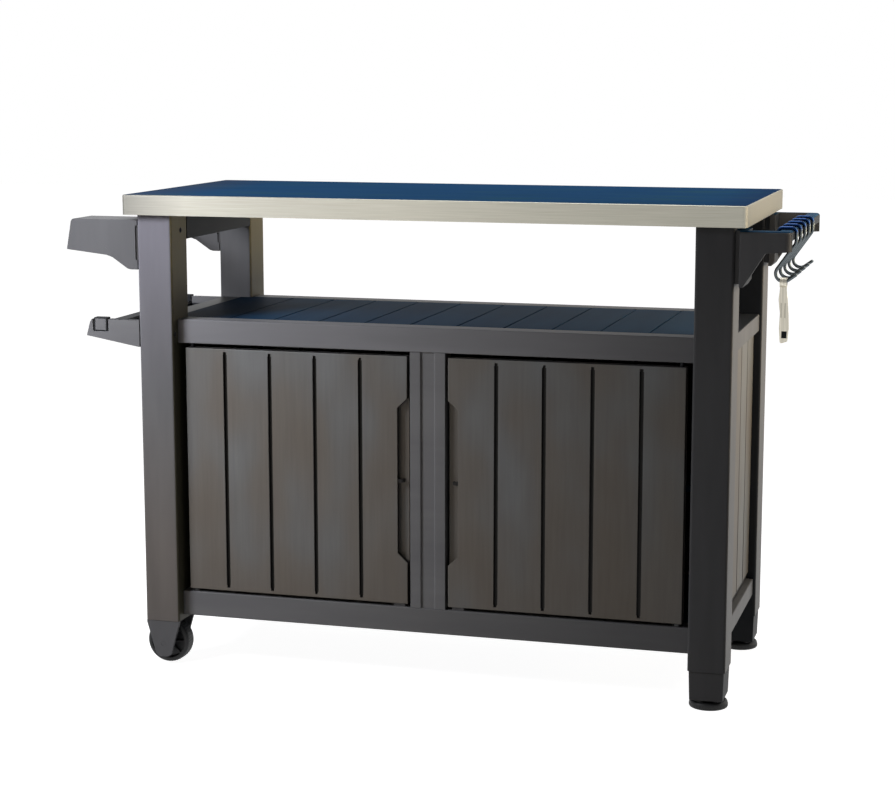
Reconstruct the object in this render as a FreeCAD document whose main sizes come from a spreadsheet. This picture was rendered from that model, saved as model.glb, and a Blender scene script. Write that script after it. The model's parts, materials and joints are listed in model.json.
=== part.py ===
import FreeCAD, Part
import Sketcher
import math
import os

# Grill cart with storage: a steel-topped worktop on four legs, an open shelf, a two-door
# cabinet below it, fittings on both sides, two wheels on the left and two levelling feet
# on the right. Millimetres, +X to the right, +Y to the rear, +Z up. The origin is on the
# floor, under the middle of the whole length and depth.

document = FreeCAD.newDocument("grill_cart")
sheet = document.addObject("Spreadsheet::Sheet", "sizes")


class Size:
    """A length or an angle: its number, and the sheet expression that it comes from."""

    def __init__(self, number, text):
        self.number = number
        self.text = text

    def __add__(self, other):
        other = as_size(other)
        return Size(self.number + other.number, "(" + self.text + " + " + other.text + ")")

    def __radd__(self, other):
        return as_size(other) + self

    def __sub__(self, other):
        other = as_size(other)
        return Size(self.number - other.number, "(" + self.text + " - " + other.text + ")")

    def __rsub__(self, other):
        return as_size(other) - self

    def __mul__(self, other):
        other = as_size(other)
        return Size(self.number * other.number, "(" + self.text + " * " + other.text + ")")

    def __rmul__(self, other):
        return as_size(other) * self

    def __truediv__(self, other):
        other = as_size(other)
        return Size(self.number / other.number, "(" + self.text + " / " + other.text + ")")

    def __neg__(self):
        return as_size(0) - self


def as_size(value):
    """A plain number stands for itself in an expression."""
    if isinstance(value, Size):
        return value
    return Size(float(value), "(" + repr(float(value)) + ")")


def sine(angle):
    return Size(math.sin(math.radians(angle.number)), "sin(" + angle.text + " * 1deg)")


def cosine(angle):
    return Size(math.cos(math.radians(angle.number)), "cos(" + angle.text + " * 1deg)")


# Driving dimensions: name, number and what it measures
DRIVING = (
    ("top_length", 1156, "worktop, left end to right end"),
    ("top_depth", 510, "worktop, front edge to rear edge"),
    ("top_height", 900, "floor to the worktop's upper face"),
    ("rim_height", 37, "height of the worktop's turned-down steel rim"),
    ("sheet_gauge", 1.2, "thickness of the worktop's steel sheet"),
    ("top_corner_radius", 8, "worktop corners seen from above"),
    ("top_edge_radius", 2.5, "rounding where the steel turns down"),
    ("core_rib", 14, "ribs under the worktop core"),
    ("core_skin", 12, "solid upper layer of the worktop core"),
    ("core_margin", 24, "legs' inner faces to the core's first cells"),
    ("core_front", 53, "worktop's front or rear edge to the core's first cells"),
    ("reach_left", 700, "middle of the worktop to the towel arms' tips"),
    ("bar_outer", 652, "middle of the worktop to the hook bar's outer face"),
    ("leg_width", 68, "leg, left to right"),
    ("leg_depth", 76, "leg, front to rear"),
    ("leg_wall", 4, "wall of the hollow legs"),
    ("leg_inset", 22.5, "worktop end to the leg's outer face"),
    ("leg_setback", 17, "worktop edge to the leg's front or rear face"),
    ("leg_corner_radius", 5, "upright edges of the legs"),
    ("plug_gap", 0.15, "gap round the plugs inside the legs"),
    ("driver_hole_radius", 5, "holes in the legs' inner walls for a screwdriver"),
    ("eased_edge", 2, "rounding of the rails' and aprons' outer edges"),
    ("left_leg_bottom", 88, "lower end of the left legs' walls"),
    ("right_leg_bottom", 72, "lower end of the right legs' walls"),
    ("rail_setback", 40, "worktop edge to the front or rear rails' outer face"),
    ("rail_depth", 40, "front and rear rails, front to rear"),
    ("rail_wall", 4, "wall of the rails' open channels"),
    ("rail_end_block", 40, "solid ends of the front and rear rails"),
    ("rail_post_block", 40.5, "middle of the cart to the end of the rails' solid middle"),
    ("shelf_height", 667, "floor to the upper face of the open shelf"),
    ("upper_rail_low", 622, "underside of the upper front and rear rails"),
    ("floor_height", 144, "floor to the upper face of the cabinet's base"),
    ("lower_rail_low", 97, "underside of the lower front and rear rails"),
    ("side_rail_upper_low", 634, "underside of the upper side rails"),
    ("side_rail_lower_top", 147, "top of the lower side rails"),
    ("side_rail_lower_low", 115, "underside of the lower side rails"),
    ("side_rail_recess", 6, "side rails' outer face behind the legs'"),
    ("side_rail_width", 39.5, "side rails, left to right"),
    ("side_panel_recess", 15.5, "side panels' outer face behind the legs'"),
    ("board", 12, "thickness of side, rear and middle boards and of the shelves"),
    ("shelf_board", 15, "thickness of the open shelf and of the cabinet's base"),
    ("shelf_groove_depth", 1.5, "depth of the open shelf's grooves"),
    ("panel_groove_depth", 3, "depth of the side and rear panels' grooves"),
    ("panel_shadow_gap", 13, "recess along the side panels' lower edge"),
    ("rear_gap_half", 8, "middle of the cart to the rear panels' inner edges"),
    ("rear_panel_setback", 25, "rear rails' front face to the rear panels'"),
    ("joint_strip_half", 20, "half the width of the rear panels' joint strip"),
    ("joint_strip_front", 4, "joint strip in front of the rear panels"),
    ("joint_strip_rear", 3, "joint strip behind the rear panels"),
    ("plank_groove", 5.5, "width and depth of the grooves between planks"),
    ("groove_margin", 6, "plain border above and below the doors' grooves"),
    ("first_groove", 129, "middle of the cart to the nearest door groove"),
    ("groove_pitch", 88.4, "one door groove to the next"),
    ("post_half_width", 33.5, "centre post, middle to side"),
    ("post_channel_half", 13.5, "centre post's front channel, middle to side"),
    ("post_channel_depth", 8, "depth of that channel"),
    ("post_channel_slope", 2, "how far each wall of the channel leans"),
    ("door_inner", 38.5, "middle of the cart to the doors' free edges"),
    ("door_outer", 473, "middle of the cart to the doors' hinged edges"),
    ("door_low", 150, "floor to the doors' lower edge"),
    ("door_top", 614, "floor to the doors' upper edge"),
    ("door_setback", 40, "worktop front edge to the doors' front face"),
    ("door_thickness", 22, "door, front to rear"),
    ("door_edge_radius", 2, "rounding of the doors' front edges"),
    ("hinge_from_middle", 463, "middle of the cart to the hinge axes"),
    ("hinge_pin_radius", 4, "hinge pins"),
    ("hinge_clearance", 0.12, "gap round the hinge pins inside the doors"),
    ("hinge_pin_sunk", 14, "how deep the hinge pins sit in the rails"),
    ("hinge_pin_proud", 16, "how far the hinge pins reach into the doors"),
    ("hinge_bore_depth", 18, "bores for the hinge pins in the doors"),
    ("bush_radius", 8, "outside of the rings that carry the doors"),
    ("bush_gap", 0.2, "gap between a ring and its door"),
    ("catch_near", 45.5, "middle of the cart to the catches' near end"),
    ("catch_far", 67.5, "middle of the cart to the catches' far end"),
    ("catch_half_depth", 6, "half the catches' size, front to rear"),
    ("strike_gauge", 1.5, "thickness of the catches' strike plates"),
    ("magnet_gap", 0.6, "gap between a magnet and its strike plate"),
    ("notch_reach", 57.5, "middle of the cart to the bottom of the finger notch"),
    ("notch_low", 227, "lower end of the finger notch"),
    ("notch_top", 537, "upper end of the finger notch"),
    ("notch_slope", 19, "height of the slanted ends of the notch"),
    ("notch_depth", 12, "notch, front to rear"),
    ("eye_height", 382, "middle of the lock eye"),
    ("eye_thickness", 6, "lock eye, bottom to top"),
    ("eye_bore_radius", 2.6, "hole of the lock eye"),
    ("eye_reach", 11, "lock eye, from the notch's bottom to its tip"),
    ("eye_bore_reach", 5.5, "notch's bottom to the lock eye's hole"),
    ("eye_bore_setback", 7, "door's front face to the lock eye's hole"),
    ("wheel_radius", 42.5, "wheel"),
    ("wheel_width", 32, "wheel's tread, front to rear"),
    ("axle_radius", 5, "wheel axle"),
    ("axle_clearance", 0.1, "gap between the axle and the wheel's bore"),
    ("cheek_thickness", 6, "cheeks of the wheel fork"),
    ("cheek_tip", 17, "floor to the tip of the wheel fork's cheeks"),
    ("cheek_tip_half", 14, "half the width of the cheeks' tip"),
    ("cheek_setback", 1, "leg's face to the outer face of a cheek"),
    ("fork_plug_height", 60, "part of the wheel fork inside the leg"),
    ("hub_radius", 11, "wheel's hub"),
    ("hub_gap", 0.5, "gap between the hub and each cheek"),
    ("tread_thickness", 9, "wheel's tread, along the radius"),
    ("wheel_dish", 8, "depth of the wheel's dished sides"),
    ("foot_radius", 35, "levelling foot's disc"),
    ("foot_stud_radius", 5, "levelling foot's threaded stud"),
    ("foot_block_low", 18, "underside of the foot blocks"),
    ("foot_block_inset", 2.5, "foot block's faces behind the leg's"),
    ("foot_block_taper", 1.5, "how far the foot block narrows on each side"),
    ("foot_plug_height", 40, "part of the foot block inside the leg"),
    ("stud_bore_depth", 50, "bore for the levelling foot's stud"),
    ("foot_rim_height", 8, "upright rim of the levelling foot's disc"),
    ("foot_dome_height", 15, "top of the levelling foot's dome"),
    ("stud_reach", 44, "how far the stud stands above the foot block's underside"),
    ("arm_groove", 8.5, "shadow groove between a right leg and its arm"),
    ("loop_plate", 15, "thickness of the hook loop's end plates"),
    ("bar_width", 25, "hook bar, left to right"),
    ("bar_low", 840, "underside of the hook bar between its end plates"),
    ("loop_tip_low", 822, "underside of the end plates' outer ends"),
    ("bar_top", 857, "top of the hook bar"),
    ("bar_edge_radius", 5, "rounding along the hook bar's top"),
    ("loop_foot", 759, "lower end of the hook loop's roots"),
    ("loop_foot_width", 6, "level underside of the roots, left to right"),
    ("loop_flange", 12, "flange of the hook loop's roots"),
    ("loop_flange_slope", 9.5, "height of the flange's slanted lower edge"),
    ("loop_arm_low", 819, "lower end of the slope under the hook loop's arms"),
    ("loop_arm_run", 19, "hook bar's inner face to the end of that slope"),
    ("loop_corner_radius", 12, "outer corners of the hook loop, seen from above"),
    ("loop_neck_inset", 6, "hook loop's root in the groove, behind the leg's faces"),
    ("wire_radius", 3, "wire of the hooks"),
    ("hook_gap", 0.3, "gap between a hook and the bar"),
    ("hook_bend", 14, "inside run of the hooks' bends, to the wire's middle"),
    ("hook_lean", 35, "degrees from upright of the hooks' shank"),
    ("hook_lift", 36, "degrees from level of the hooks' open end"),
    ("hook_shank", 50, "straight part of the hooks' shank"),
    ("hook_tail", 13, "hooks' inner end below the top of the bar"),
    ("hook_drop", 18, "top of the bar to the hooks' first bend"),
    ("hook_tip", 18, "straight open end of the hooks"),
    ("opener_gauge", 1.8, "thickness of the bottle opener's steel"),
    ("opener_eye", 6.5, "inside radius of the opener's rolled eye"),
    ("opener_eye_half", 6, "half the width of the rolled eye"),
    ("opener_hang", 1.4, "middle of the wire to the middle of the eye"),
    ("opener_length", 107, "middle of the eye to the end of the blade"),
    ("blade_half", 8.5, "half the width of the opener's blade"),
    ("blade_shift", 1.5, "blade's middle to the right of the eye's"),
    ("first_hook", 58, "worktop front edge to the first hook"),
    ("hook_pitch", 66, "one hook to the next"),
    ("rod_radius", 12.5, "towel rod"),
    ("rod_height", 800, "floor to the towel rod's axis"),
    ("rod_from_middle", 640, "middle of the cart to the towel rod's axis"),
    ("rod_neck_radius", 5.9, "thinner ends of the towel rod"),
    ("rod_neck_length", 12, "length of those ends"),
    ("rod_play", 0.4, "gap between the rod's shoulders and the arms"),
    ("socket_depth", 14, "sockets of the towel arms"),
    ("socket_clearance", 0.1, "gap round the rod's ends"),
    ("towel_arm_top", 853, "top of the towel arms"),
    ("towel_arm_slope", 11, "slanted end of the towel arms, left to right"),
    ("towel_arm_tip", 795, "lower end of that slant"),
    ("towel_arm_elbow", 81, "towel arm's tip to the elbow of its underside"),
    ("towel_arm_elbow_height", 786, "floor to that elbow"),
    ("towel_arm_foot", 760, "lower end of the towel arms"),
    ("towel_arm_foot_width", 14, "level underside at the leg, left to right"),
    ("towel_arm_crown", 8, "rounding of the towel arms' upper corner"),
    ("towel_groove_width", 4, "groove beside the leg, left to right"),
    ("towel_groove_depth", 3, "depth of that groove, front and rear"),
    ("towel_groove_low", 778, "lower end of that groove"),
    ("towel_groove_top", 842, "upper end of that groove"),
    ("rack_plate", 16, "thickness of the rack's end plates"),
    ("rack_rail_near", 621, "middle of the cart to the rack rail's inner face"),
    ("rack_rail_far", 648, "middle of the cart to the rack rail's outer face"),
    ("rack_rail_low", 642, "underside of the rack rail"),
    ("rack_rail_top", 655, "top of the rack rail between its ends"),
    ("rack_rail_end", 668, "top of the rack rail's raised ends"),
    ("rack_notch_gap", 2, "gap beside the rail's ends in the plates' notches"),
    ("rack_plate_top", 665, "top of the rack's plates"),
    ("rack_lip", 652, "middle of the cart to the end of the plates' level top"),
    ("rack_nose", 664, "middle of the cart to the plates' outer end"),
    ("rack_nose_low", 633, "lower end of the plates' nose"),
    ("rack_foot", 614, "lower end of the plates at the leg"),
    ("tray_floor", 3, "floor of the rack's pan"),
    ("tray_wall", 3, "walls of the rack's pan"),
    ("tray_height", 14, "height of the rack's pan"),
    ("tray_drop", 4, "underside of the pan below the rail's"),
    ("apron_low", 813, "underside of the side aprons"),
    ("apron_thickness", 20, "side aprons, left to right"),
    ("inner_shelf_top", 392, "upper face of the shelves inside"),
    ("inner_shelf_play", 0.5, "gap beside the shelves inside"),
    ("inner_shelf_margin", 4, "gap before and behind the shelves inside"),
    ("inner_shelf_edge", 3, "rounding of those shelves' front edge"),
    ("shelf_pin_radius", 3, "pins under the shelves inside"),
    ("shelf_pin_sunk", 5, "how deep those pins sit in the boards"),
    ("shelf_pin_proud", 9, "how far those pins stand out"),
    ("shelf_pin_inset", 40, "those pins, from the legs' inner faces"),
    ("upper_screw_height", 832, "floor to the upper fittings' screws"),
    ("rack_screw_height", 640, "floor to the rack's screws"),
    ("screw_offset", 7, "upper fittings' screws off the leg's middle"),
    ("rack_screw_offset", 2, "rack's screws behind the plates' middle"),
    ("screw_radius", 2.4, "shank of the side fittings' screws"),
    ("screw_clearance", 0.1, "gap round the screws"),
    ("screw_head_radius", 4.5, "head of the screws"),
    ("screw_head_height", 3, "height of that head"),
    ("screw_depth", 18, "how deep those screws go into the fittings"),
)
D = {}
for row, (name, number, meaning) in enumerate(DRIVING, start=1):
    sheet.set("A%d" % row, name)
    sheet.set("B%d" % row, str(number))
    sheet.set("C%d" % row, meaning)
    sheet.setAlias("B%d" % row, name)
    D[name] = Size(float(number), "sizes." + name)
document.recompute()

LEFT = -1
RIGHT = 1
HOOKS = 5
DOOR_GROOVES = 4
SHELF_GROOVES = 10
SIDE_PLANKS = 4

# How far a shape runs into or past its neighbour, so that no skin is left between them
OVERRUN = 1

# The hooks' wire over the bar: half its span, and the cup's middle from the bar's middle
hook_side = D["bar_width"] / 2 + D["wire_radius"] + D["hook_gap"]
hook_shank_x = hook_side - D["hook_bend"] + D["hook_bend"] * cosine(D["hook_lean"])
hook_shank_z = -D["hook_drop"] - D["hook_bend"] * sine(D["hook_lean"])
hook_cup_x = (hook_shank_x - D["hook_shank"] * sine(D["hook_lean"])
              + D["hook_bend"] * cosine(D["hook_lean"]))
hook_cup_z = (hook_shank_z - D["hook_shank"] * cosine(D["hook_lean"])
              - D["hook_bend"] * sine(D["hook_lean"]))
hook_tip_x = hook_cup_x + D["hook_bend"] * sine(D["hook_lift"]) + D["hook_tip"] * cosine(D["hook_lift"])

# The hooks' open ends stand out furthest on the right, and the towel arms on the left
reach_right = (D["bar_outer"] - D["bar_width"] / 2 + hook_tip_x
               + D["wire_radius"] * sine(D["hook_lift"]))
middle_x = (D["reach_left"] - reach_right) / 2
middle_y = D["top_depth"] / 2


def across(side, distance):
    """X of a point so far from the middle of the worktop, to its left or right."""
    return middle_x + distance * side


def back(distance):
    """Y of a point so far behind the worktop's front edge."""
    return distance - middle_y


def both_ways(first, second):
    """The pair in rising order."""
    if first.number < second.number:
        return (first, second)
    return (second, first)


# Levels and distances that follow from the driving dimensions
rim_low = D["top_height"] - D["rim_height"]
leg_outer = D["top_length"] / 2 - D["leg_inset"]
leg_inner = leg_outer - D["leg_width"]
leg_middle = leg_outer - D["leg_width"] / 2
front_leg = (D["leg_setback"], D["leg_setback"] + D["leg_depth"])
rear_leg = (D["top_depth"] - front_leg[1], D["top_depth"] - front_leg[0])
front_leg_middle = D["leg_setback"] + D["leg_depth"] / 2
rear_leg_middle = D["top_depth"] - front_leg_middle
front_rail = (D["rail_setback"], D["rail_setback"] + D["rail_depth"])
rear_rail = (D["top_depth"] - front_rail[1], D["top_depth"] - front_rail[0])
side_rail_outer = leg_outer - D["side_rail_recess"]
side_rail_inner = side_rail_outer - D["side_rail_width"]
side_panel_outer = leg_outer - D["side_panel_recess"]
side_panel_inner = side_panel_outer - D["board"]
back_panel = (rear_rail[0] + D["rear_panel_setback"],
              rear_rail[0] + D["rear_panel_setback"] + D["board"])
hinge_back = D["door_setback"] + D["door_thickness"] / 2
bar_inner = D["bar_outer"] - D["bar_width"]
shelf_pin_height = D["inner_shelf_top"] - D["board"] - D["shelf_pin_radius"]
screw_hole = D["screw_radius"] + D["screw_clearance"]
leg_plug = (D["leg_width"] / 2 - D["leg_wall"] - D["plug_gap"],
            D["leg_depth"] / 2 - D["leg_wall"] - D["plug_gap"])
cheek_reach = D["leg_depth"] / 2 - D["cheek_setback"]
front_plate = (D["leg_setback"], D["leg_setback"] + D["rack_plate"])
rear_plate = (rear_leg[0], rear_leg[0] + D["rack_plate"])


def bind(thing, socket, size):
    thing.setExpression(socket, as_size(size).text)


def new_body(label):
    body = document.addObject("PartDesign::Body", label)
    body.Label = label
    return body


def origin_plane(body, role):
    for feature in body.Origin.OriginFeatures:
        if feature.Role == role:
            return feature


def new_sketch(body, role, level):
    """A sketch on one of the body's own planes, moved along that plane's axis to a level."""
    sketch = body.newObject("Sketcher::SketchObject", body.Name + "_sketch")
    sketch.AttachmentSupport = [(origin_plane(body, role), "")]
    sketch.MapMode = "FlatFace"
    if role == "XZ_Plane":
        level = -as_size(level)
    bind(sketch, "AttachmentOffset.Base.z", level)
    return sketch


def vector(u, v):
    return FreeCAD.Vector(as_size(u).number, as_size(v).number, 0)


def pin_point(sketch, edge, end, u, v):
    """Ties one end of a sketch edge to the sheet by its distances from the origin."""
    number = sketch.addConstraint(
        Sketcher.Constraint("DistanceX", -1, 1, edge, end, as_size(u).number))
    bind(sketch, "Constraints[%d]" % number, u)
    number = sketch.addConstraint(
        Sketcher.Constraint("DistanceY", -1, 1, edge, end, as_size(v).number))
    bind(sketch, "Constraints[%d]" % number, v)


def draw_outline(sketch, corners):
    """A closed outline of straight edges."""
    first = sketch.GeometryCount
    count = len(corners)
    for number in range(count):
        start = vector(*corners[number])
        end = vector(*corners[(number + 1) % count])
        sketch.addGeometry(Part.LineSegment(start, end))
    for number in range(count):
        following = first + (number + 1) % count
        sketch.addConstraint(Sketcher.Constraint("Coincident", first + number, 2, following, 1))
    for number, (u, v) in enumerate(corners):
        pin_point(sketch, first + number, 1, u, v)


def draw_rectangle(sketch, u, v):
    draw_outline(sketch, [(u[0], v[0]), (u[1], v[0]), (u[1], v[1]), (u[0], v[1])])


def draw_circle(sketch, u, v, radius):
    centre = vector(u, v)
    edge = sketch.addGeometry(Part.Circle(centre, FreeCAD.Vector(0, 0, 1), as_size(radius).number))
    number = sketch.addConstraint(Sketcher.Constraint("Radius", edge, as_size(radius).number))
    bind(sketch, "Constraints[%d]" % number, radius)
    pin_point(sketch, edge, 3, u, v)


def pad(body, sketch, length):
    """Material from the sketch's level, in the direction of the rising axis."""
    feature = body.newObject("PartDesign::Pad", body.Name + "_pad")
    feature.Profile = sketch
    feature.Reversed = sketch.AttachmentSupport[0][0].Role == "XZ_Plane"
    bind(feature, "Length", length)
    sketch.Visibility = False
    document.recompute()
    return feature


def cut(body, sketch, length):
    """Takes material away from the sketch's level, in the direction of the rising axis."""
    before = body.Shape.Volume
    feature = body.newObject("PartDesign::Pocket", body.Name + "_pocket")
    feature.Profile = sketch
    feature.Reversed = sketch.AttachmentSupport[0][0].Role != "XZ_Plane"
    bind(feature, "Length", length)
    sketch.Visibility = False
    document.recompute()
    if body.Shape.Volume > before - 1e-3:
        raise RuntimeError("a cut in " + body.Label + " took nothing away")
    return feature


def box_pad(body, x, y, z):
    sketch = new_sketch(body, "XY_Plane", z[0])
    draw_rectangle(sketch, x, y)
    return pad(body, sketch, z[1] - z[0])


def box_cut(body, x, y, z):
    sketch = new_sketch(body, "XY_Plane", z[0])
    draw_rectangle(sketch, x, y)
    return cut(body, sketch, z[1] - z[0])


def bore(body, role, u, v, radius, low, high):
    """A round hole along the axis of an origin plane, between two levels."""
    sketch = new_sketch(body, role, low)
    draw_circle(sketch, u, v, radius)
    return cut(body, sketch, high - low)


def edge_names(shape, wanted):
    """Names of the edges whose first and last points both pass the test."""
    names = []
    for number, edge in enumerate(shape.Edges, start=1):
        ends = [vertex.Point for vertex in edge.Vertexes]
        if len(ends) == 2 and wanted(ends[0]) and wanted(ends[1]):
            names.append("Edge%d" % number)
    return names


def near(value, size):
    return abs(value - as_size(size).number) < 0.05


def along(axis, shape, places):
    """Names of the straight edges along an axis that pass through the given places."""
    others = [letter for letter in "xyz" if letter != axis]
    names = []
    for number, edge in enumerate(shape.Edges, start=1):
        if len(edge.Vertexes) != 2:
            continue
        start, end = [vertex.Point for vertex in edge.Vertexes]
        if (end - start).Length - abs(getattr(end - start, axis)) > 1e-6:
            continue
        for place in places:
            if all(near(getattr(start, letter), size) for letter, size in zip(others, place)):
                names.append("Edge%d" % number)
    return names


def round_edges(body, names, radius):
    if not names:
        raise RuntimeError("no edge to round in " + body.Label)
    solid = body.Tip
    feature = body.newObject("PartDesign::Fillet", body.Name + "_fillet")
    feature.Base = (solid, names)
    bind(feature, "Radius", radius)
    document.recompute()
    return feature


def repeat_cut(body, feature, direction, step, count):
    """Repeats a cut along a sketch axis."""
    before = body.Shape.Volume
    pattern = body.newObject("PartDesign::LinearPattern", body.Name + "_pattern")
    pattern.Originals = [feature]
    pattern.Direction = (feature.Profile[0], [direction])
    pattern.Reversed = as_size(step).number < 0
    bind(pattern, "Length", step * (count - 1) * (-1 if pattern.Reversed else 1))
    pattern.Occurrences = count
    body.Tip = pattern
    document.recompute()
    if body.Shape.Volume > before - 1e-3:
        raise RuntimeError("a pattern in " + body.Label + " took nothing away")
    return pattern


def plain_board(label, x, y, z):
    """A flat board, bar or strip with square edges."""
    board = document.addObject("Part::Box", label)
    board.Label = label
    for socket, axis, ends in (("Length", "x", x), ("Width", "y", y), ("Height", "z", z)):
        bind(board, socket, ends[1] - ends[0])
        bind(board, "Placement.Base." + axis, ends[0])
    return board


def cylinder(name, radius, start, length, turn=None):
    """A round bar from a start point along +Z, or along the axis that a turn gives it."""
    bar = document.addObject("Part::Cylinder", name)
    bind(bar, "Radius", radius)
    bind(bar, "Height", length)
    if turn:
        bar.Placement = FreeCAD.Placement(FreeCAD.Vector(), turn)
    for axis, size in zip("xyz", start):
        bind(bar, "Placement.Base." + axis, size)
    return bar


ALONG_X = FreeCAD.Rotation(FreeCAD.Vector(0, 1, 0), 90)
ALONG_Y = FreeCAD.Rotation(FreeCAD.Vector(1, 0, 0), -90)


def group(label, solids):
    """Several separate solids that share one name."""
    compound = document.addObject("Part::Compound", label)
    compound.Label = label
    compound.Links = solids
    return compound


# Worktop: a steel sheet folded down on all four sides over a ribbed core


def worktop_sheet():
    body = new_body("worktop_sheet")
    half = D["top_length"] / 2
    x = (across(LEFT, half), across(RIGHT, half))
    y = (back(as_size(0)), back(D["top_depth"]))
    box_pad(body, x, y, (rim_low, D["top_height"]))
    corners = [(x[0], y[0]), (x[0], y[1]), (x[1], y[0]), (x[1], y[1])]
    round_edges(body, along("z", body.Shape, corners), D["top_corner_radius"])
    top = D["top_height"].number
    round_edges(body, edge_names(body.Shape, lambda point: near(point.z, top)), D["top_edge_radius"])
    gauge = D["sheet_gauge"]
    box_cut(body, (x[0] + gauge, x[1] - gauge), (y[0] + gauge, y[1] - gauge),
            (rim_low, D["top_height"] - gauge))
    return body


def worktop_core():
    """The moulded core under the sheet, with open cells between the four legs."""
    body = new_body("worktop_core")
    half = D["top_length"] / 2 - D["sheet_gauge"]
    x = (across(LEFT, half), across(RIGHT, half))
    y = (back(D["sheet_gauge"]), back(D["top_depth"] - D["sheet_gauge"]))
    box_pad(body, x, y, (rim_low, D["top_height"] - D["sheet_gauge"]))
    columns = 6
    rows = 2
    rib = D["core_rib"]
    side_margin = D["core_margin"]
    field_x = (across(LEFT, leg_inner - side_margin), across(RIGHT, leg_inner - side_margin))
    field_y = (back(D["core_front"]), back(D["top_depth"] - D["core_front"]))
    cell_x = (field_x[1] - field_x[0] - rib * (columns - 1)) / columns
    cell_y = (field_y[1] - field_y[0] - rib * (rows - 1)) / rows
    depth = D["rim_height"] - D["sheet_gauge"] - D["core_skin"]
    for row in range(rows):
        low = field_y[0] + (cell_y + rib) * row
        sketch = new_sketch(body, "XY_Plane", rim_low)
        draw_rectangle(sketch, (field_x[0], field_x[0] + cell_x), (low, low + cell_y))
        cell = cut(body, sketch, depth)
        repeat_cut(body, cell, "H_Axis", cell_x + rib, columns)
    return body


# Legs: hollow uprights with open lower ends


def leg(label, side, span, bottom):
    body = new_body(label)
    x = both_ways(across(side, leg_outer), across(side, leg_inner))
    y = (back(span[0]), back(span[1]))
    wall = D["leg_wall"]
    box_pad(body, x, y, (bottom, rim_low))
    corners = [(x[0], y[0]), (x[0], y[1]), (x[1], y[0]), (x[1], y[1])]
    round_edges(body, along("z", body.Shape, corners), D["leg_corner_radius"])
    box_cut(body, (x[0] + wall, x[1] - wall), (y[0] + wall, y[1] - wall), (bottom, rim_low - wall))
    screw_passage(body, side, screw_back(span), D["upper_screw_height"])
    return body


def screw_passage(body, side, y, height):
    """A driver's hole through the leg's inner wall and the screw's own through the outer."""
    wall = D["leg_wall"]
    inner = both_ways(across(side, leg_inner), across(side, leg_inner + wall))
    outer = both_ways(across(side, leg_outer), across(side, leg_outer - wall))
    bore(body, "YZ_Plane", y, height, D["driver_hole_radius"], inner[0], inner[1])
    bore(body, "YZ_Plane", y, height, screw_hole, outer[0], outer[1])


def screw_back(span):
    """Y of an upper fitting's screw: a little off the leg's middle, towards the cart's."""
    middle = back((span[0] + span[1]) / 2)
    inward = 1 if middle.number < 0 else -1
    return middle + D["screw_offset"] * inward


def side_apron(label, side):
    """The board between two legs under the worktop's end, with its lower edge eased."""
    body = new_body(label)
    x = both_ways(across(side, leg_inner), across(side, leg_inner + D["apron_thickness"]))
    y = (back(front_leg[1]), back(rear_leg[0]))
    low = D["apron_low"]
    box_pad(body, x, y, (low, rim_low))
    round_edges(body, along("y", body.Shape, [(x[0], low), (x[1], low)]), D["eased_edge"])
    return body


# Cabinet frame: rails, boards and the centre post


def long_rail(label, span, z, open_side):
    """A front or rear rail: a channel with solid blocks at its ends and its middle."""
    body = new_body(label)
    x = (across(LEFT, leg_inner), across(RIGHT, leg_inner))
    y = (back(span[0]), back(span[1]))
    box_pad(body, x, y, z)
    outer = y[0] if open_side > 0 else y[1]
    edges = along("x", body.Shape, [(outer, z[0]), (outer, z[1])])
    round_edges(body, edges, D["eased_edge"])
    wall = D["rail_wall"]
    hollow_y = (y[0] + wall, y[1]) if open_side > 0 else (y[0], y[1] - wall)
    for side in (LEFT, RIGHT):
        hollow_x = both_ways(across(side, D["rail_post_block"]),
                             across(side, leg_inner - D["rail_end_block"]))
        box_cut(body, hollow_x, hollow_y, (z[0] + wall, z[1] - wall))
    return body


def hinge_holes(body, low, high):
    """Blind holes that hold the hinge pins."""
    for side in (LEFT, RIGHT):
        axis = across(side, D["hinge_from_middle"])
        bore(body, "XY_Plane", axis, back(hinge_back), D["hinge_pin_radius"], low, high)


def side_rail(label, side, z):
    body = new_body(label)
    x = both_ways(across(side, side_rail_inner), across(side, side_rail_outer))
    y = (back(front_leg[1]), back(rear_leg[0]))
    box_pad(body, x, y, z)
    outer = across(side, side_rail_outer)
    round_edges(body, along("y", body.Shape, [(outer, z[0]), (outer, z[1])]), D["eased_edge"])
    return body


def notched_board(label, z):
    """A board between the rails, cut away round the four legs."""
    body = new_body(label)
    outline = []
    for side, order in ((LEFT, 1), (RIGHT, -1)):
        wide = across(side, side_rail_inner)
        narrow = across(side, leg_inner)
        run = [(narrow, back(rear_rail[0])), (narrow, back(rear_leg[0])), (wide, back(rear_leg[0])),
               (wide, back(front_leg[1])), (narrow, back(front_leg[1])), (narrow, back(front_rail[1]))]
        outline += run[::order]
    sketch = new_sketch(body, "XY_Plane", z[0])
    draw_outline(sketch, outline)
    pad(body, sketch, z[1] - z[0])
    return body


def plank_lines(body, top):
    """Shallow grooves from front to rear across a board's upper face."""
    step = leg_inner * 2 / (SHELF_GROOVES + 1)
    start = across(LEFT, leg_inner) + step
    half = D["plank_groove"] / 4
    depth = D["shelf_groove_depth"]
    sketch = new_sketch(body, "XY_Plane", top - depth)
    draw_rectangle(sketch, (start - half, start + half), (back(front_rail[1]), back(rear_rail[0])))
    repeat_cut(body, cut(body, sketch, depth), "H_Axis", step, SHELF_GROOVES)


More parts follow.
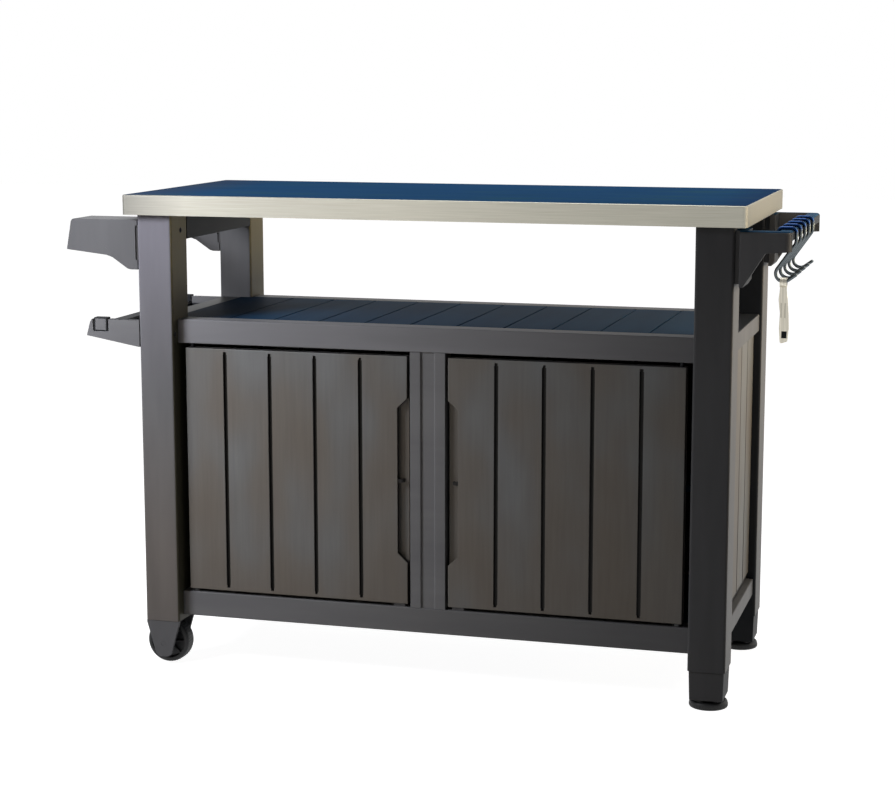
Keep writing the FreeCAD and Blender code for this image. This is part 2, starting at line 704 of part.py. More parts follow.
def centre_post():
    """An upright between the rails, open behind, with a wide channel down its front."""
    body = new_body("centre_post")
    z = (D["floor_height"], D["upper_rail_low"])
    half = D["post_half_width"]
    brim = D["post_channel_half"]
    bed = brim - D["post_channel_slope"]
    front = back(D["door_setback"])
    floor = front + D["post_channel_depth"]
    rear = back(front_rail[1])
    left = across(LEFT, half)
    right = across(RIGHT, half)
    wall = D["rail_wall"]
    inner_left = left + wall
    inner_right = right - wall
    sketch = new_sketch(body, "XY_Plane", z[0])
    draw_outline(sketch, [
        (left, rear), (left, front), (across(LEFT, brim), front), (across(LEFT, bed), floor),
        (across(RIGHT, bed), floor), (across(RIGHT, brim), front), (right, front),
        (right, rear), (inner_right, rear), (inner_right, floor + wall), (inner_left, floor + wall),
        (inner_left, rear)])
    pad(body, sketch, z[1] - z[0])
    return body


def side_panel(label, side):
    """A planked panel between the side rails, with a shadow gap along its lower edge."""
    body = new_body(label)
    z = (D["side_rail_lower_top"], D["side_rail_upper_low"])
    x = both_ways(across(side, side_panel_inner), across(side, side_panel_outer))
    y = (back(front_leg[1]), back(rear_leg[0]))
    box_pad(body, x, y, z)
    face = across(side, side_panel_outer)
    outer = both_ways(face, face - D["panel_groove_depth"] * side)
    planks_low = z[0] + D["panel_shadow_gap"]
    box_cut(body, outer, y, (z[0], planks_low))
    pitch = (y[1] - y[0]) / SIDE_PLANKS
    half = D["plank_groove"] / 2
    for number in range(1, SIDE_PLANKS):
        line = y[0] + pitch * number
        box_cut(body, outer, (line - half, line + half), (planks_low, z[1] - D["groove_margin"]))
    pin_holes(body, side_panel_inner, side, -1)
    return body


def back_panel_board(label, side):
    """Half of the cabinet's rear wall, planked on the outside as the doors are."""
    body = new_body(label)
    z = (D["floor_height"], D["upper_rail_low"])
    x = both_ways(across(side, D["rear_gap_half"]), across(side, leg_inner))
    y = (back(back_panel[0]), back(back_panel[1]))
    box_pad(body, x, y, z)
    half = D["plank_groove"] / 2
    line = across(side, D["first_groove"])
    sketch = new_sketch(body, "XY_Plane", z[0] + D["groove_margin"])
    draw_rectangle(sketch, (line - half, line + half), (y[1] - D["panel_groove_depth"], y[1]))
    groove = cut(body, sketch, z[1] - z[0] - D["groove_margin"] * 2)
    repeat_cut(body, groove, "H_Axis", D["groove_pitch"] * side, DOOR_GROOVES)
    return body


def rear_joint_strip():
    """The strip whose two slots hold the rear panels' inner edges."""
    body = new_body("rear_joint_strip")
    z = (D["floor_height"], D["upper_rail_low"])
    half = D["joint_strip_half"]
    x = (across(LEFT, half), across(RIGHT, half))
    y = (back(back_panel[0] - D["joint_strip_front"]), back(back_panel[1] + D["joint_strip_rear"]))
    box_pad(body, x, y, z)
    for side in (LEFT, RIGHT):
        slot = both_ways(across(side, D["rear_gap_half"]), across(side, half))
        box_cut(body, slot, (back(back_panel[0]), back(back_panel[1])), z)
    return body


def inner_shelf(label, side):
    """A loose shelf on four pins, with its front edge rounded."""
    body = new_body(label)
    play = D["inner_shelf_play"]
    margin = D["inner_shelf_margin"]
    x = both_ways(across(side, D["board"] / 2 + play), across(side, side_panel_inner - play))
    y = (back(front_leg[1] + margin), back(rear_leg[0] - margin))
    top = D["inner_shelf_top"]
    low = top - D["board"]
    box_pad(body, x, y, (low, top))
    edges = along("x", body.Shape, [(y[0], top), (y[0], low)])
    round_edges(body, edges, D["inner_shelf_edge"])
    return body


def shelf_pin_backs():
    """Y of the front and the rear pins."""
    return (back(front_leg[1] + D["shelf_pin_inset"]), back(rear_leg[0] - D["shelf_pin_inset"]))


def shelf_pins():
    """Eight pins, half sunk in the side panels and in the middle board."""
    pins = []
    radius = D["shelf_pin_radius"]
    for side in (LEFT, RIGHT):
        for wall, inward in ((side_panel_inner, -1), (D["board"] / 2, 1)):
            face = across(side, wall)
            ends = both_ways(face - D["shelf_pin_sunk"] * (side * inward),
                             face + D["shelf_pin_proud"] * (side * inward))
            for y in shelf_pin_backs():
                start = (ends[0], y, shelf_pin_height)
                pins.append(cylinder("shelf_pin", radius, start, ends[1] - ends[0], ALONG_X))
    return group("shelf_pins", pins)


def pin_holes(body, wall, side, inward):
    """The two blind holes that a board gives its shelf pins."""
    face = across(side, wall)
    ends = both_ways(face - D["shelf_pin_sunk"] * (side * inward), face)
    for y in shelf_pin_backs():
        bore(body, "YZ_Plane", y, shelf_pin_height, D["shelf_pin_radius"], ends[0], ends[1])


def middle_board():
    """The upright board behind the centre post, notched for the upper rear rail."""
    body = new_body("middle_board")
    x = (across(LEFT, D["board"] / 2), across(RIGHT, D["board"] / 2))
    y = (back(front_rail[1]), back(back_panel[0] - D["joint_strip_front"]))
    z = (D["floor_height"], D["shelf_height"] - D["shelf_board"])
    box_pad(body, x, y, z)
    box_cut(body, x, (back(rear_rail[0]), y[1]), (D["upper_rail_low"], z[1]))
    for side in (LEFT, RIGHT):
        pin_holes(body, D["board"] / 2, side, 1)
    return body


# Doors: five planks wide, with a finger notch, a lock eye and bores for the hinge pins


def door(label, side):
    body = new_body(label)
    z = (D["door_low"], D["door_top"])
    x = both_ways(across(side, D["door_inner"]), across(side, D["door_outer"]))
    y = (back(D["door_setback"]), back(D["door_setback"] + D["door_thickness"]))
    box_pad(body, x, y, z)
    front = y[0].number
    radius = D["door_edge_radius"]
    round_edges(body, edge_names(body.Shape, lambda point: near(point.y, front)), radius)
    groove = D["plank_groove"]
    line = across(side, D["first_groove"])
    for depth_span in ((y[0], y[0] + groove), (y[1] - groove / 2, y[1])):
        sketch = new_sketch(body, "XY_Plane", z[0] + D["groove_margin"])
        draw_rectangle(sketch, (line - groove / 2, line + groove / 2), depth_span)
        first = cut(body, sketch, z[1] - z[0] - D["groove_margin"] * 2)
        repeat_cut(body, first, "H_Axis", D["groove_pitch"] * side, DOOR_GROOVES)
    finger_notch(body, side, y[0])
    lock_eye(body, side, y[0])
    axis = across(side, D["hinge_from_middle"])
    hole = D["hinge_pin_radius"] + D["hinge_clearance"]
    depth = D["hinge_bore_depth"]
    bore(body, "XY_Plane", axis, back(hinge_back), hole, z[0], z[0] + depth)
    bore(body, "XY_Plane", axis, back(hinge_back), hole, z[1] - depth, z[1])
    plate_x, plate_y = catch_place(side)
    box_cut(body, plate_x, plate_y, (z[0], z[0] + D["strike_gauge"]))
    return body


def finger_notch(body, side, front):
    """A long bite out of the front skin at the door's free edge, with slanted ends."""
    edge = across(side, D["door_inner"] - OVERRUN)
    wall = across(side, D["notch_reach"])
    slope = D["notch_slope"]
    sketch = new_sketch(body, "XZ_Plane", front)
    draw_outline(sketch, [(edge, D["notch_low"]), (wall, D["notch_low"] + slope),
                          (wall, D["notch_top"] - slope), (edge, D["notch_top"])])
    cut(body, sketch, D["notch_depth"])


def lock_eye(body, side, front):
    """A lug in the notch with an upright hole for a small padlock."""
    low = D["eye_height"] - D["eye_thickness"] / 2
    top = low + D["eye_thickness"]
    tip = across(side, D["notch_reach"] - D["eye_reach"])
    x = both_ways(tip, across(side, D["notch_reach"] + OVERRUN))
    y = (front + D["door_edge_radius"], front + D["notch_depth"] + OVERRUN)
    box_pad(body, x, y, (low, top))
    round_edges(body, along("z", body.Shape, [(tip, y[0])]), D["door_edge_radius"] * 2)
    centre = across(side, D["notch_reach"] - D["eye_bore_reach"])
    bore(body, "XY_Plane", centre, front + D["eye_bore_setback"], D["eye_bore_radius"], low, top)


def catch_place(side):
    """Where a door's strike plate and the magnet below it lie, left to right and front to rear."""
    half = D["catch_half_depth"]
    x = both_ways(across(side, D["catch_near"]), across(side, D["catch_far"]))
    return x, (back(hinge_back - half), back(hinge_back + half))


def strike_plate(label, side):
    x, y = catch_place(side)
    return plain_board(label, x, y, (D["door_low"], D["door_low"] + D["strike_gauge"]))


def catch_magnets():
    blocks = []
    for side in (LEFT, RIGHT):
        x, y = catch_place(side)
        z = (D["floor_height"], D["door_low"] - D["magnet_gap"])
        blocks.append(plain_board("catch_magnet", x, y, z))
    return group("catch_magnets", blocks)


def hinge_pins():
    """A lower and an upper pin for each door."""
    pins = []
    radius = D["hinge_pin_radius"]
    sunk = D["hinge_pin_sunk"]
    proud = D["hinge_pin_proud"]
    for side in (LEFT, RIGHT):
        place = (across(side, D["hinge_from_middle"]), back(hinge_back))
        for low, high in ((D["floor_height"] - sunk, D["door_low"] + proud),
                          (D["door_top"] - proud, D["upper_rail_low"] + sunk)):
            pins.append(cylinder("hinge_pin", radius, (place[0], place[1], low), high - low))
    return group("hinge_pins", pins)


def hinge_bushes():
    """Rings that carry the doors on the lower rail."""
    rings = []
    for side in (LEFT, RIGHT):
        start = (across(side, D["hinge_from_middle"]), back(hinge_back), D["floor_height"])
        thickness = D["door_low"] - D["floor_height"] - D["bush_gap"]
        ring = document.addObject("Part::Cut", "hinge_bush")
        ring.Base = cylinder("bush_outside", D["bush_radius"], start, thickness)
        ring.Tool = cylinder("bush_hole", D["hinge_pin_radius"], start, thickness)
        rings.append(ring)
    return group("hinge_bushes", rings)


# Left end: wheels in forks that plug into the legs


def wheel_fork(label, leg_span_middle):
    """A hollow plug for the leg, with two tongues that carry the wheel's axle."""
    body = new_body(label)
    middle = across(LEFT, leg_middle)
    y_middle = back(leg_span_middle)
    low = D["left_leg_bottom"]
    top = low + D["fork_plug_height"]
    half_x, half_y = leg_plug
    box_pad(body, (middle - half_x, middle + half_x), (y_middle - half_y, y_middle + half_y), (low, top))
    wall = D["leg_wall"]
    box_cut(body, (middle - half_x + wall, middle + half_x - wall),
            (y_middle - half_y + wall, y_middle + half_y - wall), (low + wall, top))
    cheek = D["cheek_thickness"]
    for outer in (y_middle - cheek_reach, y_middle + cheek_reach - cheek):
        sketch = new_sketch(body, "XZ_Plane", outer)
        draw_outline(sketch, cheek_outline(middle))
        pad(body, sketch, cheek)
    tip_half = D["cheek_tip_half"]
    tips = [(middle - tip_half, D["cheek_tip"]), (middle + tip_half, D["cheek_tip"])]
    round_edges(body, along("y", body.Shape, tips), tip_half * 0.9)
    bore(body, "XZ_Plane", middle, D["wheel_radius"], D["axle_radius"],
         y_middle - cheek_reach, y_middle + cheek_reach)
    return body


def cheek_outline(middle):
    """A tongue that narrows from the leg's width to its tip."""
    top = D["left_leg_bottom"]
    shoulder = top - D["cheek_thickness"]
    wide = D["leg_width"] / 2 - D["cheek_setback"]
    narrow = D["cheek_tip_half"]
    tip = D["cheek_tip"]
    return [(middle - wide, top), (middle - wide, shoulder), (middle - narrow, tip),
            (middle + narrow, tip), (middle + wide, shoulder), (middle + wide, top)]


def wheel(label, leg_span_middle):
    """A moulded wheel: rounded tread, dished sides and a long hub."""
    body = new_body(label)
    half = D["wheel_width"] / 2
    radius = D["wheel_radius"]
    hole = D["axle_radius"] + D["axle_clearance"]
    hub = D["hub_radius"]
    hub_half = cheek_reach - D["cheek_thickness"] - D["hub_gap"]
    web = half - D["wheel_dish"]
    draft = 2
    rim = radius - D["tread_thickness"]
    shoulder = 5
    # The section is drawn in the wheel's own frame: sideways across the tread, up its radius
    right_half = [(hub_half, hole), (hub_half, hub), (web, hub + draft), (web, rim - draft),
                  (half, rim), (half, radius - shoulder), (half - shoulder, radius)]
    left_half = [(-u, v) for u, v in reversed(right_half)]
    sketch = new_sketch(body, "YZ_Plane", as_size(0))
    draw_outline(sketch, right_half + left_half)
    turned = body.newObject("PartDesign::Revolution", label + "_turned")
    turned.Profile = sketch
    turned.ReferenceAxis = (sketch, ["H_Axis"])
    turned.Angle = 360
    document.recompute()
    for axis, size in zip("xyz", (across(LEFT, leg_middle), back(leg_span_middle), radius)):
        bind(body, "Placement.Base." + axis, size)
    return body


def wheel_axles():
    """The two pins that cross the forks and carry the wheels."""
    pins = []
    for middle in (front_leg_middle, rear_leg_middle):
        place = (across(LEFT, leg_middle), back(middle) - cheek_reach, D["wheel_radius"])
        pins.append(cylinder("wheel_axle", D["axle_radius"], place, cheek_reach * 2, ALONG_Y))
    return group("wheel_axles", pins)


# Right end: foot blocks and levelling feet


def foot_block(label, leg_span_middle):
    """A tapered block whose upper part plugs into the leg, bored for the foot's stud."""
    body = new_body(label)
    middle = across(RIGHT, leg_middle)
    y_middle = back(leg_span_middle)
    low = D["foot_block_low"]
    top = D["right_leg_bottom"]
    narrow = D["foot_block_taper"]
    lower_x = D["leg_width"] / 2 - D["foot_block_inset"] - narrow
    lower_y = D["leg_depth"] / 2 - D["foot_block_inset"] - narrow
    sketch = new_sketch(body, "XY_Plane", low)
    draw_rectangle(sketch, (middle - lower_x, middle + lower_x), (y_middle - lower_y, y_middle + lower_y))
    lower = pad(body, sketch, top - low)
    lower.TaperAngle = math.degrees(math.atan2(narrow.number, (top - low).number))
    document.recompute()
    half_x, half_y = leg_plug
    box_pad(body, (middle - half_x, middle + half_x), (y_middle - half_y, y_middle + half_y),
            (top, top + D["foot_plug_height"]))
    hole = D["foot_stud_radius"] + D["axle_clearance"]
    bore(body, "XY_Plane", middle, y_middle, hole, low, low + D["stud_bore_depth"])
    return body


def levelling_foot(label, leg_span_middle):
    """A domed disc turned in one with its stud."""
    body = new_body(label)
    boss_top = D["foot_block_low"] - D["hook_gap"]
    stud_top = D["foot_block_low"] + D["stud_reach"]
    radius = D["foot_radius"]
    stud = D["foot_stud_radius"]
    rim = D["foot_rim_height"]
    dome = D["foot_dome_height"]
    bevel = 2
    zero = as_size(0)
    sketch = new_sketch(body, "XZ_Plane", zero)
    draw_outline(sketch, [
        (zero, zero), (radius - bevel, zero), (radius, as_size(bevel)), (radius, rim),
        (radius - bevel * 2, dome - bevel), (stud * 2 + bevel, dome), (stud * 2, boss_top),
        (stud, boss_top), (stud, stud_top), (zero, stud_top)])
    turned = body.newObject("PartDesign::Revolution", label + "_turned")
    turned.Profile = sketch
    turned.ReferenceAxis = (sketch, ["V_Axis"])
    turned.Angle = 360
    document.recompute()
    for axis, size in zip("xy", (across(RIGHT, leg_middle), back(leg_span_middle))):
        bind(body, "Placement.Base." + axis, size)
    return body


# Left side fittings: towel arms with a turning rod, and a small rack below them


def towel_arm(label, span, socket_start):
    """A bracket on a leg's outer face, swept down to a foot and bored for the rod's end."""
    body = new_body(label)
    root = across(LEFT, leg_outer)
    y = (back(span[0]), back(span[1]))
    tip = D["reach_left"]
    crown = (across(LEFT, tip - D["towel_arm_slope"]), D["towel_arm_top"])
    elbow = D["towel_arm_elbow"]
    elbow_height = D["towel_arm_elbow_height"]
    foot = D["towel_arm_foot"]
    foot_width = D["towel_arm_foot_width"]
    # The underside turns down at the elbow in two steps and runs out level at the leg
    soften = 4
    outline = [(root, D["towel_arm_top"]), crown, (across(LEFT, tip), D["towel_arm_tip"]),
               (across(LEFT, tip - elbow), elbow_height),
               (across(LEFT, tip - elbow - soften * 3), elbow_height - soften),
               (across(LEFT, leg_outer + foot_width + soften * 2), foot + soften / 2),
               (across(LEFT, leg_outer + foot_width), foot), (root, foot)]
    sketch = new_sketch(body, "XZ_Plane", y[0])
    draw_outline(sketch, outline)
    pad(body, sketch, y[1] - y[0])
    round_edges(body, along("y", body.Shape, [crown]), D["towel_arm_crown"])
    # A shadow groove beside the leg, on the front and the rear faces
    depth = D["towel_groove_depth"]
    groove_x = (across(LEFT, leg_outer + D["towel_groove_width"]), root)
    for groove_y in ((y[0], y[0] + depth), (y[1] - depth, y[1])):
        box_cut(body, groove_x, groove_y, (D["towel_groove_low"], D["towel_groove_top"]))
    socket = D["rod_neck_radius"] + D["socket_clearance"]
    start = back(socket_start)
    bore(body, "XZ_Plane", across(LEFT, D["rod_from_middle"]), D["rod_height"], socket,
         start, start + D["socket_depth"])
    bore(body, "YZ_Plane", screw_back(span), D["upper_screw_height"], screw_hole,
         across(LEFT, leg_outer + D["screw_depth"]), root)
    return body


def towel_rod():
    """A round rod with thinner ends that turn in the arms."""
    body = new_body("towel_rod")
    play = D["rod_play"]
    length = rear_leg[0] - front_leg[1] - play * 2
    neck = D["rod_neck_radius"]
    neck_length = D["rod_neck_length"]
    radius = D["rod_radius"]
    bevel = as_size(1.5)
    zero = as_size(0)
    sketch = new_sketch(body, "YZ_Plane", zero)
    draw_outline(sketch, [(-neck_length, zero), (length + neck_length, zero),
                          (length + neck_length, neck), (length, neck), (length, radius - bevel),
                          (length - bevel, radius), (bevel, radius), (zero, radius - bevel),
                          (zero, neck), (-neck_length, neck)])
    turned = body.newObject("PartDesign::Revolution", "towel_rod_turned")
    turned.Profile = sketch
    turned.ReferenceAxis = (sketch, ["H_Axis"])
    turned.Angle = 360
    document.recompute()
    start = (across(LEFT, D["rod_from_middle"]), back(front_leg[1]) + play, D["rod_height"])
    for axis, size in zip("xyz", start):
        bind(body, "Placement.Base." + axis, size)
    return body


def rack_plate(label, span):
    """An end plate of the rack, with an open notch that holds the rail's square end."""
    body = new_body(label)
    root = across(LEFT, leg_outer)
    y = (back(span[0]), back(span[1]))
    gap = D["rack_notch_gap"]
    near_side = across(LEFT, D["rack_rail_near"] - gap)
    far_side = across(LEFT, D["rack_rail_far"] + gap)
    top = D["rack_plate_top"]
    bottom = D["rack_rail_low"]
    nose = D["rack_nose"]
    bevel = 7
    outline = [(root, top), (near_side, top), (near_side, bottom), (far_side, bottom), (far_side, top),
               (across(LEFT, D["rack_lip"]), top), (across(LEFT, nose - bevel), top - bevel),
               (across(LEFT, nose), D["rack_nose_low"]), (root, D["rack_foot"])]
    sketch = new_sketch(body, "XZ_Plane", y[0])
    draw_outline(sketch, outline)
    pad(body, sketch, y[1] - y[0])
    bore(body, "YZ_Plane", rack_screw_back(span), D["rack_screw_height"], screw_hole,
         across(LEFT, leg_outer + D["screw_depth"]), root)
    return body


def rack_rail():
    """The rack's outer rail, with raised square ends that drop into the plates."""
    body = new_body("rack_rail")
    x = (across(LEFT, D["rack_rail_far"]), across(LEFT, D["rack_rail_near"]))
    top = D["rack_rail_top"]
    box_pad(body, x, (back(front_plate[0]), back(rear_plate[1])), (D["rack_rail_low"], top))
    for span in (front_plate, rear_plate):
        box_pad(body, x, (back(span[0]), back(span[1])), (top, D["rack_rail_end"]))
    return body


def rack_tray():
    """A shallow pan between the plates, the rail and the cabinet's side."""
    body = new_body("rack_tray")
    outer = across(LEFT, D["rack_rail_near"])
    by_leg = across(LEFT, leg_outer)
    by_rail = across(LEFT, side_rail_outer)
    y = (back(front_plate[1]), back(front_leg[1]), back(rear_plate[0]))
    low = D["rack_rail_low"] - D["tray_drop"]
    top = low + D["tray_height"]
    sketch = new_sketch(body, "XY_Plane", low)
    draw_outline(sketch, [(outer, y[0]), (by_leg, y[0]), (by_leg, y[1]), (by_rail, y[1]),
                          (by_rail, y[2]), (outer, y[2])])
    pad(body, sketch, D["tray_height"])
    wall = D["tray_wall"]
    box_cut(body, (outer + wall, by_leg - wall), (y[0] + wall, y[2] - wall), (low + D["tray_floor"], top))
    return body


# Right side fitting: a loop with an outer bar, its hooks and the bottle opener


def hook_rail():
    """A loop open above and below: a bar on two plates that stand on flanged roots."""
    body = new_body("hook_rail")
    root = across(RIGHT, leg_outer)
    face = root + D["arm_groove"]
    heel_end = face + D["loop_foot_width"]
    flange = face + D["loop_flange"]
    outer = across(RIGHT, D["bar_outer"])
    inner = across(RIGHT, bar_inner)
    top = D["bar_top"]
    foot = D["loop_foot"]
    plate = D["loop_plate"]
    arm = [(face, foot), (heel_end, foot), (inner - D["loop_arm_run"], D["loop_arm_low"]),
           (outer, D["loop_tip_low"]), (outer, top), (face, top)]
    heel = [(face, foot), (heel_end, foot), (flange, foot + D["loop_flange_slope"]), (flange, top),
            (face, top)]
    inset = D["loop_neck_inset"]
    for span, start in ((front_leg, front_leg[0]), (rear_leg, rear_leg[1] - plate)):
        for outline, low_side, depth in ((arm, start, plate), (heel, span[0], span[1] - span[0])):
            sketch = new_sketch(body, "XZ_Plane", back(low_side))
            draw_outline(sketch, outline)
            pad(body, sketch, depth)
        box_pad(body, (root, face), (back(span[0] + inset), back(span[1] - inset)), (foot + inset, top))
    box_pad(body, (inner, outer), (back(front_leg[0] + plate), back(rear_leg[1] - plate)),
            (D["bar_low"], top))
    ends = [(outer, back(front_leg[0])), (outer, back(rear_leg[1]))]
    round_edges(body, along("z", body.Shape, ends), D["loop_corner_radius"])
    # Both upper edges of the bar are eased where the hooks hang
    for x in (inner, outer):
        round_edges(body, along("y", body.Shape, [(x, top)]), D["bar_edge_radius"])
    for span in (front_leg, rear_leg):
        bore(body, "YZ_Plane", screw_back(span), D["upper_screw_height"], screw_hole,
             root, root + D["screw_depth"])
    return body


def hook_path(sketch):
    """The wire's middle line: over the bar, down the slanted shank, round and up to the tip."""
    radius = D["bar_edge_radius"] + D["wire_radius"] + D["hook_gap"]
    rise = D["wire_radius"] + D["hook_gap"]
    crown = D["bar_width"] / 2 - D["bar_edge_radius"]
    shoulder = -D["bar_edge_radius"]
    bend = D["hook_bend"]
    lean = D["hook_lean"]
    lift = D["hook_lift"]
    neck = (hook_side - bend, -D["hook_drop"])
    cup = (hook_cup_x, hook_cup_z)
    shank_top = (hook_shank_x, hook_shank_z)
    shank_low = (hook_shank_x - D["hook_shank"] * sine(lean),
                 hook_shank_z - D["hook_shank"] * cosine(lean))
    lip = (cup[0] + bend * sine(lift), cup[1] - bend * cosine(lift))
    tip = (lip[0] + D["hook_tip"] * cosine(lift), lip[1] + D["hook_tip"] * sine(lift))
    points = [(-hook_side, -D["hook_tail"]), (-hook_side, shoulder), (-crown, rise), (crown, rise),
              (hook_side, shoulder), (hook_side, -D["hook_drop"]), shank_top, shank_low, lip, tip]
    # Centres of the arcs, by the number of the point where each starts, and their sense
    arcs = {1: ((-crown, shoulder), radius, False), 3: ((crown, shoulder), radius, False),
            5: (neck, bend, False), 7: (cup, bend, True)}
    for number in range(len(points) - 1):
        start = vector(*points[number])
        end = vector(*points[number + 1])
        if number not in arcs:
            sketch.addGeometry(Part.LineSegment(start, end))
            continue
        centre, size, rising = arcs[number]
        middle = vector(*centre)
        first, last = (start, end) if rising else (end, start)
        angles = [math.atan2(point.y - middle.y, point.x - middle.x) for point in (first, last)]
        circle = Part.Circle(middle, FreeCAD.Vector(0, 0, 1), as_size(size).number)
        sketch.addGeometry(Part.ArcOfCircle(circle, angles[0], angles[1]))
    for number in range(len(points) - 1):
        ends = (1, 2)
        if number in arcs and not arcs[number][2]:
            ends = (2, 1)
        pin_point(sketch, number, ends[0], *points[number])
        if number == len(points) - 2:
            pin_point(sketch, number, ends[1], *points[number + 1])
            continue
        following = 2 if number + 1 in arcs and not arcs[number + 1][2] else 1
        sketch.addConstraint(
            Sketcher.Constraint("Coincident", number, ends[1], number + 1, following))
        if number in arcs:
            size = sketch.addConstraint(
                Sketcher.Constraint("Radius", number, as_size(arcs[number][1]).number))
            bind(sketch, "Constraints[%d]" % size, arcs[number][1])
    return points


def s_hook(number):
    """A round steel wire bent to an S: the upper bend sits over the bar."""
    body = new_body("s_hook_%d" % (number + 1))
    path = new_sketch(body, "XZ_Plane", as_size(0))
    points = hook_path(path)
    tail = points[0]
    section = new_sketch(body, "XY_Plane", tail[1])
    draw_circle(section, tail[0], as_size(0), D["wire_radius"])
    document.recompute()
    wire = body.newObject("PartDesign::AdditivePipe", body.Name + "_wire")
    wire.Profile = section
    wire.Spine = (path, ["Edge%d" % number for number in range(1, len(points))])
    document.recompute()
    for axis, size in zip("xyz", hook_place(number)):
        bind(body, "Placement.Base." + axis, size)
    return body


def hook_place(number):
    """Where a hook's own frame sits: on the bar's top, over its middle."""
    return (across(RIGHT, D["bar_outer"] - D["bar_width"] / 2),
            back(D["first_hook"] + D["hook_pitch"] * number), D["bar_top"])


def bottle_opener():
    """A flat steel opener: an eye on the first hook, a narrow neck and a pierced blade."""
    body = new_body("bottle_opener")
    gauge = D["opener_gauge"]
    inside = D["opener_eye"]
    eye_half = D["opener_eye_half"]
    zero = as_size(0)
    ring = new_sketch(body, "YZ_Plane", -eye_half)
    draw_circle(ring, zero, zero, inside + gauge)
    draw_circle(ring, zero, zero, inside)
    pad(body, ring, eye_half * 2)
    # The blade hangs from the bottom of the eye. Its outline gives the distance below the eye's
    # middle and how far the blade reaches to either side of its own middle line there
    root = -inside - gauge / 2
    shift = D["blade_shift"]
    half = D["blade_half"]
    length = D["opener_length"]
    neck = as_size(13)
    swell = length * 0.28
    waist = length * 0.5
    heel = length * 0.75
    left_edge = [(-eye_half, root), (-eye_half, -neck), (shift - half - 1, -swell),
                 (shift - half + 2, -waist), (shift - half + 1, -heel), (shift - half + 3, -length)]
    right_edge = [(shift + half - 1, 4 - length), (shift + half + 1, -heel), (shift + half, -waist),
                  (shift + half - 2, -swell), (eye_half, -neck), (eye_half, root)]
    y = (-gauge / 2, gauge / 2)
    sketch = new_sketch(body, "XZ_Plane", y[0])
    draw_outline(sketch, left_edge + right_edge)
    pad(body, sketch, gauge)
    tips = [left_edge[-1], right_edge[0]]
    round_edges(body, along("y", body.Shape, tips), as_size(3))
    # The window that grips a cap, and two flutes pressed into the blade
    window_half = 4.5
    window_middle = shift + 1.5
    window_low = 10 - length
    window_height = 12
    box_cut(body, (window_middle - window_half, window_middle + window_half),
            (y[0] - OVERRUN, y[1] + OVERRUN), (window_low, window_low + window_height))
    flute_half = 1.2
    for flute in (shift - 4, shift + 2.5):
        box_cut(body, (flute - flute_half, flute + flute_half), (y[0], y[0] + gauge / 2),
                (-waist - 8, -swell - 6))
    bar_x, bar_y, bar_z = hook_place(0)
    eye_z = bar_z + hook_cup_z - D["hook_bend"] - D["opener_hang"]
    for axis, size in zip("xyz", (bar_x + hook_cup_x, bar_y, eye_z)):
        bind(body, "Placement.Base." + axis, size)
    return body


def arm_screws():
    """The screws that hold the side fittings, driven from inside the legs."""
    screws = []
    places = [(side, screw_back(span), D["upper_screw_height"])
              for side in (LEFT, RIGHT) for span in (front_leg, rear_leg)]
    places += [(LEFT, rack_screw_back(span), D["rack_screw_height"])
               for span in (front_plate, rear_plate)]
    for side, y, z in places:
        seat = across(side, leg_outer - D["leg_wall"])
        tip = across(side, leg_outer + D["screw_depth"])
        shank = both_ways(seat, tip)
        head = both_ways(seat, seat - D["screw_head_height"] * side)
        screw = document.addObject("Part::Fuse", "arm_screw")
        screw.Base = cylinder("screw_shank", D["screw_radius"], (shank[0], y, z), shank[1] - shank[0],
                              ALONG_X)
        screw.Tool = cylinder("screw_head", D["screw_head_radius"], (head[0], y, z),
                              head[1] - head[0], ALONG_X)
        screws.append(screw)
    return group("arm_screws", screws)


def rack_screw_back(span):
    """Y of a rack plate's screw: a little behind the plate's middle, clear of the leg's wall."""
    return back((span[0] + span[1]) / 2 + D["rack_screw_offset"])


